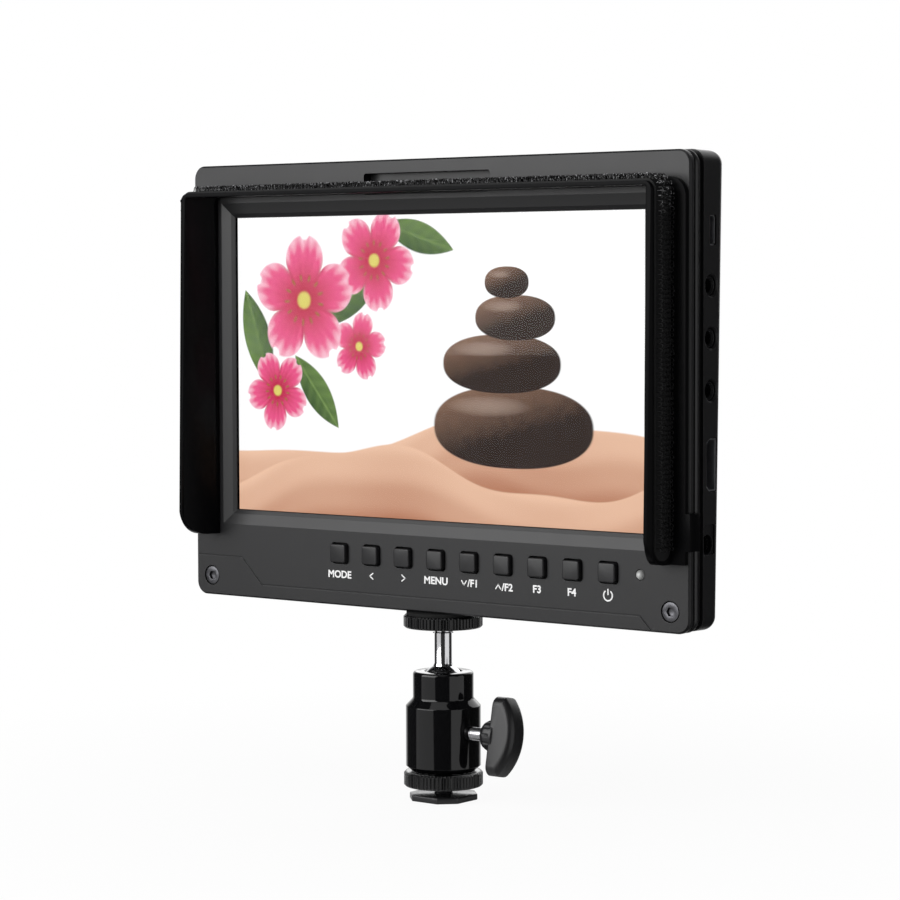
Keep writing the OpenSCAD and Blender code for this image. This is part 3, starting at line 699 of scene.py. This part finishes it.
def reach(obj: bpy.types.Object) -> tuple[Vector, Vector]:
    """Gives a mesh's lowest and highest corners."""
    points = [v.co for v in obj.data.vertices]
    return (Vector(min(p[i] for p in points) for i in range(3)),
            Vector(max(p[i] for p in points) for i in range(3)))


def merge(distance: float) -> None:
    """Merges, in edit mode, the points closer than a distance in metres, and turns the faces outwards."""
    bpy.ops.mesh.select_all(action="SELECT")
    bpy.ops.mesh.remove_doubles(threshold=distance)
    bpy.ops.mesh.normals_make_consistent(inside=False)


def joined(objects: Sequence[bpy.types.Object]) -> bpy.types.Object:
    """Joins objects into the first."""
    activate(objects[0])
    for obj in objects[1:]:
        obj.select_set(True)
    bpy.ops.object.join()
    return objects[0]


def merged_copy(node: str) -> bpy.types.Object:
    """Copies a CAD node as one closed mesh with flat faces whole.

    Args:
        node: The CAD node.

    Returns:
        The copy, which rides on nothing yet.
    """
    source = frame["nodes"][node]
    copy = bpy.data.objects.new(node + "_dressed", source.data.copy())
    bpy.context.scene.collection.objects.link(copy)
    activate(copy)
    if copy.data.has_custom_normals:
        bpy.ops.mesh.customdata_custom_splitnormals_clear()
    with editing(copy, Pick.VERTS):
        bpy.ops.mesh.select_all(action="SELECT")
        bpy.ops.mesh.remove_doubles(threshold=0.002 * MM)
        bpy.ops.mesh.dissolve_limited(angle_limit=math.radians(0.3))
    return copy


def settle(
    obj: bpy.types.Object,
    name: str,
    body: str,
    finish: Finish,
    stands_for: Sequence[str] = (),
    smooth: float = 35.0,
) -> bpy.types.Object:
    """Names a finished piece, shades it, dresses it and lets it ride.

    Args:
        obj: The piece.
        name: Its name.
        body: The body that carries it.
        finish: Its finish.
        stands_for: The CAD nodes that it replaces.
        smooth: The angle in degrees under which edges are shaded smooth.

    Returns:
        The piece.
    """
    obj.name = obj.data.name = name
    activate(obj)
    bpy.ops.object.shade_smooth_by_angle(angle=math.radians(smooth))
    obj.data.materials.clear()
    obj.data.materials.append(finish.material())
    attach(obj, body)
    if stands_for:
        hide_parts(*stands_for)
    log.info("%s rides on %s, %d faces", name, body, len(obj.data.polygons))
    return obj


def body_of(node: str) -> str:
    """Gives the body that carries a CAD node."""
    bodies = frame["record"]["behaviour"]["bodies"]
    return next(body for body, nodes in bodies.items() if node in nodes)


def refine(node: str, finish: Finish, width: float = 0.0, segments: int = 2, smooth: float = 35.0) -> None:
    """Replaces a CAD node by a smooth-shaded copy with rounded edges.

    Args:
        node: The CAD node.
        finish: Its finish.
        width: The width of the rounding in millimetres, or 0 for none.
        segments: The rounding's segments.
        smooth: The angle in degrees under which edges are shaded smooth.
    """
    copy = merged_copy(node)
    if width:
        modify(copy, "BEVEL", width=width * MM, segments=segments, limit_method="ANGLE",
               angle_limit=math.radians(smooth), use_clamp_overlap=True, harden_normals=False)
    settle(copy, node + "_dressed", body_of(node), finish, [node], smooth)


def threaded_rod(
    radius: float, root: float, pitch: float, turns: int, start: Vector, along_x: bool = False
) -> bpy.types.Object:
    """Models a rod with a helical thread: a closed core and a closed ridge that winds round it.

    Args:
        radius: The outer radius in millimetres.
        root: The radius at the thread's foot.
        pitch: The thread's pitch.
        turns: How many turns it has.
        start: The middle of its lower end, in metres.
        along_x: Whether it points along X instead of Z.

    Returns:
        The rod.
    """
    length = (turns + 1) * pitch * MM
    core = primitive("cylinder", vertices=36, radius=root * MM, depth=length, location=(0, 0, length / 2))
    with editing(core, Pick.EDGES):
        select(core, Pick.EDGES, lambda e: abs(e.verts[0].co.z - e.verts[1].co.z) < 1e-7)
        bpy.ops.mesh.bevel(offset=0.2 * MM, segments=2, affect="EDGES")
    ridge = primitive("circle", vertices=4, radius=MM)
    foot, crest = root - 0.08, pitch * 0.06
    profile = [(foot, 0.04), (radius, pitch / 2 - crest), (radius, pitch / 2 + crest), (foot, pitch - 0.04)]
    for vertex, (out, up) in zip(ridge.data.vertices, profile):
        vertex.co = (out * MM, 0, up * MM)
    modify(ridge, "SCREW", screw_offset=pitch * MM, iterations=turns, steps=28, render_steps=28)
    with editing(ridge, Pick.EDGES):
        bpy.ops.mesh.select_non_manifold()
        bpy.ops.mesh.edge_face_add()
    with editing(ridge, Pick.EDGES):
        bpy.ops.mesh.select_all(action="SELECT")
        bpy.ops.mesh.normals_make_consistent(inside=False)
    rod = joined([core, ridge])
    rod.rotation_euler = (0, math.pi / 2 if along_x else 0, 0)
    rod.location = start
    return applied(rod)


# ---- the monitor ----


class Turn(Enum):
    """The quarter turns of a legend's arrow, in degrees."""

    LEFT = 0
    DOWN = 90
    RIGHT = 180
    UP = 270


@dataclass(frozen=True)
class Legend:
    """A legend under a key, centred x to the right and z above the monitor's lower edge, in millimetres."""

    x: float
    z: float
    words: str = ""
    arrow: Turn | None = None


@dataclass
class Monitor:
    """The monitor: its housing, screen, keys and sockets."""

    capital: float = 2.3
    widen: float = 1.07
    weight: float = 0.028
    ink: float = 0.04
    arrow_tall: float = 2.15
    arrow_wide: float = 1.5
    arrow_stroke: float = 0.36
    power_x: float = 65.83
    power_z: float = 9.39
    power_radius: float = 1.5
    power_stroke: float = 0.42
    legends: list[Legend] = field(default_factory=lambda: [
        Legend(-33.94, 9.53, "MODE"), Legend(-21.44, 9.67, arrow=Turn.LEFT),
        Legend(-8.97, 9.82, arrow=Turn.RIGHT), Legend(3.47, 9.82, "MENU"),
        Legend(15.88, 9.84, "/F1", Turn.DOWN), Legend(28.8, 9.46, "/F2", Turn.UP),
        Legend(40.77, 9.63, "F3"), Legend(53.24, 9.55, "F4"),
    ])

    def build(self) -> None:
        """Builds the monitor's pieces."""
        refine("front_screws", BLACK_SCREW, 0.12)
        for node in ("rear_screws", "led_lens", "jack_upper", "jack_middle", "jack_lower",
                     "dc_socket", "tripod_insert"):
            refine(node, NODE_FINISHES[node])
        for node in sorted(frame["nodes"]):
            if node.startswith("key_") and node != "key_board":
                refine(node, KEY_PLASTIC, 0.12)
        pieces = [self.legend(legend) for legend in self.legends]
        pieces.append(self.power_sign())
        settle(joined(pieces), "key_legends", "monitor", INK, smooth=20)

    def spot(self, x: float, z: float) -> Vector:
        """Gives a place on the front face, x to the right and z above the lower edge."""
        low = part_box("front_frame")[0]
        return Vector((x * MM, low.y, low.z + z * MM))

    def word(self, words: str, height: float) -> bpy.types.Object:
        """Models printed words, with their lower left corner at the origin in the front plane."""
        bpy.ops.object.select_all(action="DESELECT")
        bpy.ops.object.text_add(rotation=(math.pi / 2, 0, 0))
        text = bpy.context.active_object
        text.data.body = words
        text.data.offset = self.weight
        text.data.extrude = 0.01
        text.data.resolution_u = 4
        bpy.ops.object.convert(target="MESH")
        obj = applied(bpy.context.active_object)
        low, high = reach(obj)
        size = height * MM / (high.z - low.z)
        for vertex in obj.data.vertices:
            place = (vertex.co - low) * size
            vertex.co = (place.x * self.widen, -self.ink * MM if place.y < 0.01 * size else 0, place.z)
        with editing(obj, Pick.VERTS):
            merge(0.0005 * MM)
        return obj

    def arrow(self, turn: Turn) -> bpy.types.Object:
        """Models an open arrow from two square strokes, with its lower left corner at the origin."""
        half = self.arrow_stroke / 2 * MM
        tip = Vector((self.arrow_wide, 0, self.arrow_tall / 2)) * MM
        arm = block(Vector((-half * 0.6, -self.ink * MM, -half)), Vector((tip.length - half, 0, half)))
        arm.rotation_euler = (0, -math.atan2(tip.z, tip.x), 0)
        applied(arm)
        modify(arm, "MIRROR", use_axis=(False, False, True), use_clip=False, use_mirror_merge=False)
        arm.rotation_euler = (0, -math.radians(turn.value), 0)
        low = reach(applied(arm))[0]
        arm.location = (-low.x, 0, -low.z)
        return applied(arm)

    def legend(self, legend: Legend) -> bpy.types.Object:
        """Models one legend, centred on its place."""
        parts = []
        edge = 0.0
        if legend.arrow is not None:
            arrow = self.arrow(legend.arrow)
            high = reach(arrow)[1]
            if legend.words:
                edge = high.x + 0.1 * MM
                arrow.location.z = (self.capital * MM - high.z) / 2
            parts.append(applied(arrow))
        if legend.words:
            word = self.word(legend.words, self.capital)
            word.location.x = edge
            parts.append(applied(word))
        obj = joined(parts)
        low, high = reach(obj)
        middle = (low + high) / 2
        obj.location = self.spot(legend.x, legend.z) - Vector((middle.x, 0, middle.z))
        return applied(obj)

    def power_sign(self) -> bpy.types.Object:
        """Models the power sign: a ring that is open above, and a bar in the gap."""
        centre = self.spot(self.power_x, self.power_z)
        deep, half = self.ink * MM, self.power_stroke * MM / 2
        opening = math.radians(35)
        side = Vector((math.cos(opening), 0, -math.sin(opening)))
        start = Vector((math.sin(opening), 0, math.cos(opening))) * (self.power_radius * MM)
        ring = block(Vector((-half * 0.1, -deep, -half)), Vector((half * 0.1, 0, half)))
        ring.rotation_euler = (0, opening, 0)
        ring.location = centre + start
        applied(ring)
        with editing(ring):
            select(ring, Pick.FACES, lambda f: f.normal.dot(side) > 0.9)
            bpy.ops.mesh.spin(steps=30, angle=2 * math.pi - 2 * opening, center=centre, axis=(0, -1, 0))
            merge(0.001 * MM)
        bar = block(centre + Vector((-half, -deep, 0.1 * MM)),
                    centre + Vector((half, 0, (self.power_radius + 0.42) * MM)))
        return joined([ring, bar])


# ---- the sun hood ----


@dataclass
class Hood:
    """The sun hood's frame and the hook tape round it."""

    tape_base: float = 0.6
    tape_gap: float = 0.02
    wall_round: float = 2.6
    tape_end: float = 3.4
    tape_deep: float = 2.4
    hook_pitch: float = 1.35
    hook_rows: int = 5
    hook_wire: float = 0.17
    hook_stem: float = 1.2
    hook_bend: float = 0.45
    hook_sink: float = 0.05
    lean: float = 0.2
    corner_turns: tuple[float, ...] = (10, 32, 55, 78)

    def build(self) -> None:
        """Builds the hood's pieces."""
        refine("hood_frame", HOOD_PLASTIC, 0.2)
        low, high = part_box("hook_tape")
        top = high.z - self.tape_deep * MM
        settle(self.band(low, high, top), "hook_tape_band", "hood", TAPE_WEAVE, ["hook_tape"])
        settle(self.hooks(low, high, top), "hook_tape_hooks", "hood", HOOK_NYLON, smooth=80)

    def outer_wall(self) -> float:
        """Gives the half width of the hood across the outside of its walls, in metres."""
        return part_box("hook_tape")[1].x - self.tape_deep * MM

    def band(self, low: Vector, high: Vector, top: float) -> bpy.types.Object:
        """Models the tape's woven band as a strip bent over the hood's two upper corners.

        Args:
            low: The tape's lowest corner.
            high: The tape's highest corner.
            top: The height of the hood's top wall.

        Returns:
            The band.
        """
        side = self.outer_wall() + self.tape_gap * MM
        strip = block(Vector((-side, low.y, low.z)), Vector((side, high.y, top + self.tape_gap * MM)))
        with editing(strip):
            select(strip, Pick.FACES, lambda f: f.normal.z < -0.5 or abs(f.normal.y) > 0.5)
            bpy.ops.mesh.delete(type="ONLY_FACE")
        with editing(strip, Pick.EDGES):
            select(strip, Pick.EDGES, lambda e: len(e.link_faces) == 0)
            bpy.ops.mesh.delete(type="EDGE")
        with editing(strip, Pick.EDGES):
            select(strip, Pick.EDGES, lambda e: len(e.link_faces) == 2)
            bpy.ops.mesh.bevel(offset=self.wall_round * MM, segments=8, affect="EDGES")
        with editing(strip, Pick.VERTS):
            select(strip, Pick.VERTS, lambda v: abs(v.co.z - low.z) < 1e-6)
            bpy.ops.mesh.bevel(offset=self.tape_end * MM, segments=6, affect="VERTICES")
        modify(strip, "SOLIDIFY", thickness=self.tape_base * MM, offset=1.0)
        return strip

    def hook(self) -> bpy.types.Object:
        """Models one nylon hook that stands up along Z and bends over towards X."""
        stem = self.hook_stem * MM
        hook = primitive("cylinder", vertices=5, radius=self.hook_wire * MM, depth=stem,
                         location=(0, 0, stem / 2))
        with editing(hook):
            select(hook, Pick.FACES, lambda f: f.normal.z > 0.9)
            bpy.ops.mesh.spin(steps=4, angle=math.radians(205),
                              center=(self.hook_bend * MM, 0, stem), axis=(0, -1, 0))
            merge(0.001 * MM)
        return hook

    def patch(self, count: int, seed: int) -> bpy.types.Object:
        """Models a flat patch of hooks, each leaning its own way.

        Args:
            count: How many hooks stand along it.
            seed: The seed of their leaning.

        Returns:
            The patch, centred on the origin, with the hooks along Z.
        """
        hook = self.hook()
        each = len(hook.data.vertices)
        pitch = self.hook_pitch * MM
        for axis, number in ((0, count), (1, self.hook_rows)):
            offset = [0.0, 0.0, 0.0]
            offset[axis] = pitch
            modify(hook, "ARRAY", count=number, use_relative_offset=False,
                   use_constant_offset=True, constant_offset_displace=offset)
        middle = Vector(((count - 1) * pitch / 2, (self.hook_rows - 1) * pitch / 2, 0))
        draw = random.Random(seed)
        for first in range(0, len(hook.data.vertices), each):
            tilt = Vector((draw.uniform(-1, 1), draw.uniform(-1, 1), draw.uniform(-0.4, 0.2))) * self.lean
            for vertex in hook.data.vertices[first:first + each]:
                vertex.co += tilt * vertex.co.z - middle
        return hook

    def hooks(self, low: Vector, high: Vector, top: float) -> bpy.types.Object:
        """Models the hooks along the top and both side walls, and round the right corner.

        Args:
            low: The tape's lowest corner.
            high: The tape's highest corner.
            top: The height of the hood's top wall.

        Returns:
            The hooks.
        """
        pitch, bend = self.hook_pitch * MM, self.wall_round * MM
        base = (self.tape_base - self.hook_sink) * MM
        mid_y = (low.y + high.y) / 2
        wall = self.outer_wall()
        wall_low, wall_high = low.z + self.tape_end * MM, top - bend
        mid_z = (wall_low + wall_high) / 2
        tall = int((wall_high - wall_low) / pitch) + 1
        wide = int(2 * (wall - bend) / pitch) + 1
        places = [
            (wide, Vector((0, mid_y, top + base)), 0.0),
            (tall, Vector((wall + base, mid_y, mid_z)), math.pi / 2),
            (tall, Vector((-wall - base, mid_y, mid_z)), -math.pi / 2),
        ]
        corner = Vector((wall - bend, mid_y, top - bend))
        for turn in map(math.radians, self.corner_turns):
            out = Vector((math.sin(turn), 0, math.cos(turn))) * (bend + base)
            places.append((1, corner + out, turn))
        patches = []
        for seed, (count, place, turn) in enumerate(places):
            obj = self.patch(count, seed)
            obj.rotation_euler = (0, turn, 0)
            obj.location = place
            patches.append(applied(obj))
        return joined(patches)


# ---- the ball head ----


@dataclass
class BallHead:
    """The shoe-mount ball head with its two lock wheels and its clamp knob."""

    stud_pitch: float = 1.27
    stud_root: float = 2.5
    screw_pitch: float = 0.7
    screw_root: float = 1.62
    foot_pitch: float = 0.8
    foot_root: float = 2.4
    foot_outer: float = 2.8
    foot_plate: float = 1.8
    foot_rise: float = 0.5
    foot_start: float = 0.2
    stud_outer: float = 3.1
    stud_below: float = 1.7
    stud_cut: float = 0.1
    stud_start: float = 0.15

    def build(self) -> None:
        """Builds the ball head's pieces."""
        for node in ("head_body", "foot_lock_wheel", "top_lock_wheel", "wheel_pad", "head_base",
                     "thrust_plug", "ball_seat"):
            refine(node, NODE_FINISHES[node])
        refine("clamp_knob", KNOB_PLASTIC, 0.3, 3, 25)
        self.stem()
        self.clamp_screw()
        self.foot()

    def cut_above(self, obj: bpy.types.Object, height: float) -> None:
        """Cuts off what stands above a height in metres and closes the cut."""
        with editing(obj, Pick.EDGES):
            bpy.ops.mesh.select_all(action="SELECT")
            bpy.ops.mesh.bisect(plane_co=(0, 0, height), plane_no=(0, 0, 1), clear_outer=True)
        with editing(obj, Pick.EDGES):
            bpy.ops.mesh.select_non_manifold()
            bpy.ops.mesh.edge_face_add()

    def stem(self) -> None:
        """Models the polished ball and stem with a quarter-inch thread on top."""
        stem = merged_copy("ball_stem")
        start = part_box("top_lock_wheel")[0].z - self.stud_below * MM
        self.cut_above(stem, start - self.stud_cut * MM)
        turns = int((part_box("ball_stem")[1].z - start) / (self.stud_pitch * MM)) - 1
        thread = threaded_rod(self.stud_outer, self.stud_root, self.stud_pitch, turns,
                              Vector((0, 0, start - self.stud_start * MM)))
        settle(joined([stem, thread]), "ball_stem_dressed", "ball", CHROME,
               ["ball_stem"], 30)

    def clamp_screw(self) -> None:
        """Models the clamp screw with its fine thread."""
        low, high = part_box("clamp_screw")
        length = (high.x - low.x) / MM
        height = (low.z + high.z) / 2
        thread = threaded_rod((high.z - low.z) / 2 / MM, self.screw_root, self.screw_pitch,
                              int(length / self.screw_pitch) - 1, Vector((low.x, 0, height)), True)
        settle(thread, "clamp_screw_dressed", body_of("clamp_screw"), CHROME_X,
               ["clamp_screw"], 30)

    def foot(self) -> None:
        """Models the shoe foot's plate with softened edges and its threaded stud."""
        foot = merged_copy("shoe_foot")
        low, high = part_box("shoe_foot")
        plate_top = low.z + self.foot_plate * MM
        self.cut_above(foot, plate_top + self.foot_rise * MM)
        modify(foot, "BEVEL", width=0.25 * MM, segments=3, limit_method="ANGLE",
               angle_limit=math.radians(30))
        turns = int((high.z - plate_top) / (self.foot_pitch * MM)) - 1
        thread = threaded_rod(self.foot_outer, self.foot_root, self.foot_pitch, turns,
                              Vector((0, 0, plate_top + self.foot_start * MM)))
        settle(joined([foot, thread]), "shoe_foot_dressed", "foot", FOOT_PAINT,
               ["shoe_foot"], 30)


# ---- the studio ----


@dataclass(frozen=True)
class Softbox:
    """A soft lamp that faces the object.

    Its azimuth is 0 in front and 90 on the right, and its elevation is above the horizon, both in
    degrees. Its distance and size are in metres, and a radiance of 1 shows as white.
    """

    name: str
    azimuth: float
    elevation: float
    distance: float
    size: tuple[float, float]
    radiance: float


SOFTBOXES = (
    Softbox("key_softbox", -22, 22, 0.95, (1.1, 0.75), 3.5),
    Softbox("low_softbox", -22, -17, 0.95, (1.1, 0.62), 0.6),
    Softbox("side_softbox", 92, -2, 0.95, (1.1, 1.0), 0.75),
    Softbox("top_softbox", 10, 74, 0.9, (0.7, 0.7), 0.7),
    Softbox("back_softbox", 196, 24, 0.95, (1.0, 0.7), 1.3),
)


@dataclass
class Studio:
    """Camera, soft lamps, pale floor and white background."""

    lens: float = 115.96
    place: Colour = (0.5369, -0.6800, 0.1546)
    target: Colour = (0.0089, -0.00775, 0.1059)
    roll: float = -0.15
    floor_radius: float = 0.26
    mirror_radius: float = 0.04
    ambient: float = 0.12
    dark: float = 0.03
    backdrop_edge: float = 0.85
    backdrop_soft: float = 0.2
    shadow_share: float = 0.06
    aim_height: float = 0.1

    def build(self) -> None:
        """Builds the studio round the object."""
        self.camera()
        for box in SOFTBOXES:
            self.lamp(box)
        self.world()
        self.floor()
        bpy.context.scene.view_settings.view_transform = "Standard"

    def camera(self) -> None:
        """Sets the camera where the photograph was taken from."""
        data = bpy.data.cameras.new("camera")
        data.lens = self.lens
        data.sensor_width = 36
        data.clip_start = 0.01
        camera = bpy.data.objects.new("camera", data)
        bpy.context.scene.collection.objects.link(camera)
        camera.location = self.place
        camera.rotation_mode = "QUATERNION"
        camera.rotation_quaternion = (Vector(self.target) - Vector(self.place)).to_track_quat("-Z", "Y")
        camera.rotation_mode = "XYZ"
        camera.rotation_euler.rotate_axis("Z", math.radians(self.roll))
        bpy.context.scene.camera = camera

    def lamp(self, box: Softbox) -> None:
        """Adds a softbox."""
        around, up = math.radians(box.azimuth), math.radians(box.elevation)
        out = Vector((math.sin(around) * math.cos(up), -math.cos(around) * math.cos(up), math.sin(up)))
        data = bpy.data.lights.new(box.name, "AREA")
        data.shape = "RECTANGLE"
        data.size, data.size_y = box.size
        data.energy = box.radiance * math.pi * box.size[0] * box.size[1]
        lamp = bpy.data.objects.new(box.name, data)
        bpy.context.scene.collection.objects.link(lamp)
        lamp.location = Vector((0, 0, self.aim_height)) + out * box.distance
        lamp.rotation_euler = out.to_track_quat("Z", "Y").to_euler()

    def seen(self, tree: Tree) -> tuple[Wire, Wire]:
        """Gives masks of the rays that come from the camera or through glass, and from gloss."""
        path = tree.add("ShaderNodeLightPath").outputs
        direct = Wire(tree, path["Is Camera Ray"]).math("MAXIMUM", path["Is Transmission Ray"])
        return direct, Wire(tree, path["Is Glossy Ray"])

    def world(self) -> None:
        """Makes a white background that metal shows where it stands, and a soft even fill."""
        world = bpy.data.worlds.new("studio")
        bpy.context.scene.world = world
        tree = Tree(world)
        direct, gloss = self.seen(tree)
        away = (Vector(self.target) - Vector(self.place)).normalized()
        direction = tree.add("ShaderNodeTexCoord").outputs["Generated"]
        dot = tree.add("ShaderNodeVectorMath", {0: direction, 1: tuple(away)}, operation="DOT_PRODUCT")
        backdrop = Wire(tree, dot.outputs["Value"]).above(self.backdrop_edge, self.backdrop_soft)
        mirrored = backdrop * (1 - self.dark) + self.dark
        strength = direct + (1 - direct) * (gloss * mirrored + (1 - gloss) * self.ambient)
        shader = tree.add("ShaderNodeBackground", {"Color": rgba((1.0, 1.0, 1.0)), "Strength": strength})
        tree.add("ShaderNodeOutputWorld", {"Surface": shader.outputs[0]})

    def floor(self) -> None:
        """Lays a pale disc that keeps a faint shadow and fades into the background."""
        floor = primitive("circle", vertices=96, radius=self.floor_radius, fill_type="NGON",
                          location=(0, 0, -0.2 * MM))
        floor.name = "floor"
        paint = bpy.data.materials.new("floor_paint")
        tree = Tree(paint)
        direct, gloss = self.seen(tree)
        x, y, _ = tree.place()
        out = (x * x + y * y).math("SQRT")
        rim = self.floor_radius / MM
        fade = out.above(rim * 0.6, rim * 0.7) * self.shadow_share + (1 - self.shadow_share)
        diffuse = tree.add("ShaderNodeBsdfDiffuse", {"Color": rgba((0.85, 0.85, 0.85))})
        glow = tree.add("ShaderNodeEmission", {"Color": rgba((1.0, 1.0, 1.0)), "Strength": 1.0})
        mixed = tree.add("ShaderNodeMixShader", {
            0: direct * fade, 1: diffuse.outputs[0], 2: glow.outputs[0]})
        clear = tree.add("ShaderNodeBsdfTransparent")
        hidden = gloss * out.above(self.mirror_radius / MM, self.mirror_radius / MM)
        mixed = tree.add("ShaderNodeMixShader", {0: hidden, 1: mixed.outputs[0], 2: clear.outputs[0]})
        tree.add("ShaderNodeOutputMaterial", {"Surface": mixed.outputs[0]})
        floor.data.materials.append(paint)


def dress_nodes() -> None:
    """Gives every CAD node its finish."""
    for name, node in frame["nodes"].items():
        finish = NODE_FINISHES.get(name, KEY_PLASTIC)
        node.data.materials.clear()
        node.data.materials.append(finish.material())


def main() -> None:
    """Builds the studio, dresses the nodes and models the pieces."""
    logging.basicConfig(level=logging.INFO, format="%(message)s")
    Studio().build()
    dress_nodes()
    for assembly in (Monitor(), Hood(), BallHead()):
        assembly.build()


if __name__ == "__main__":
    main()
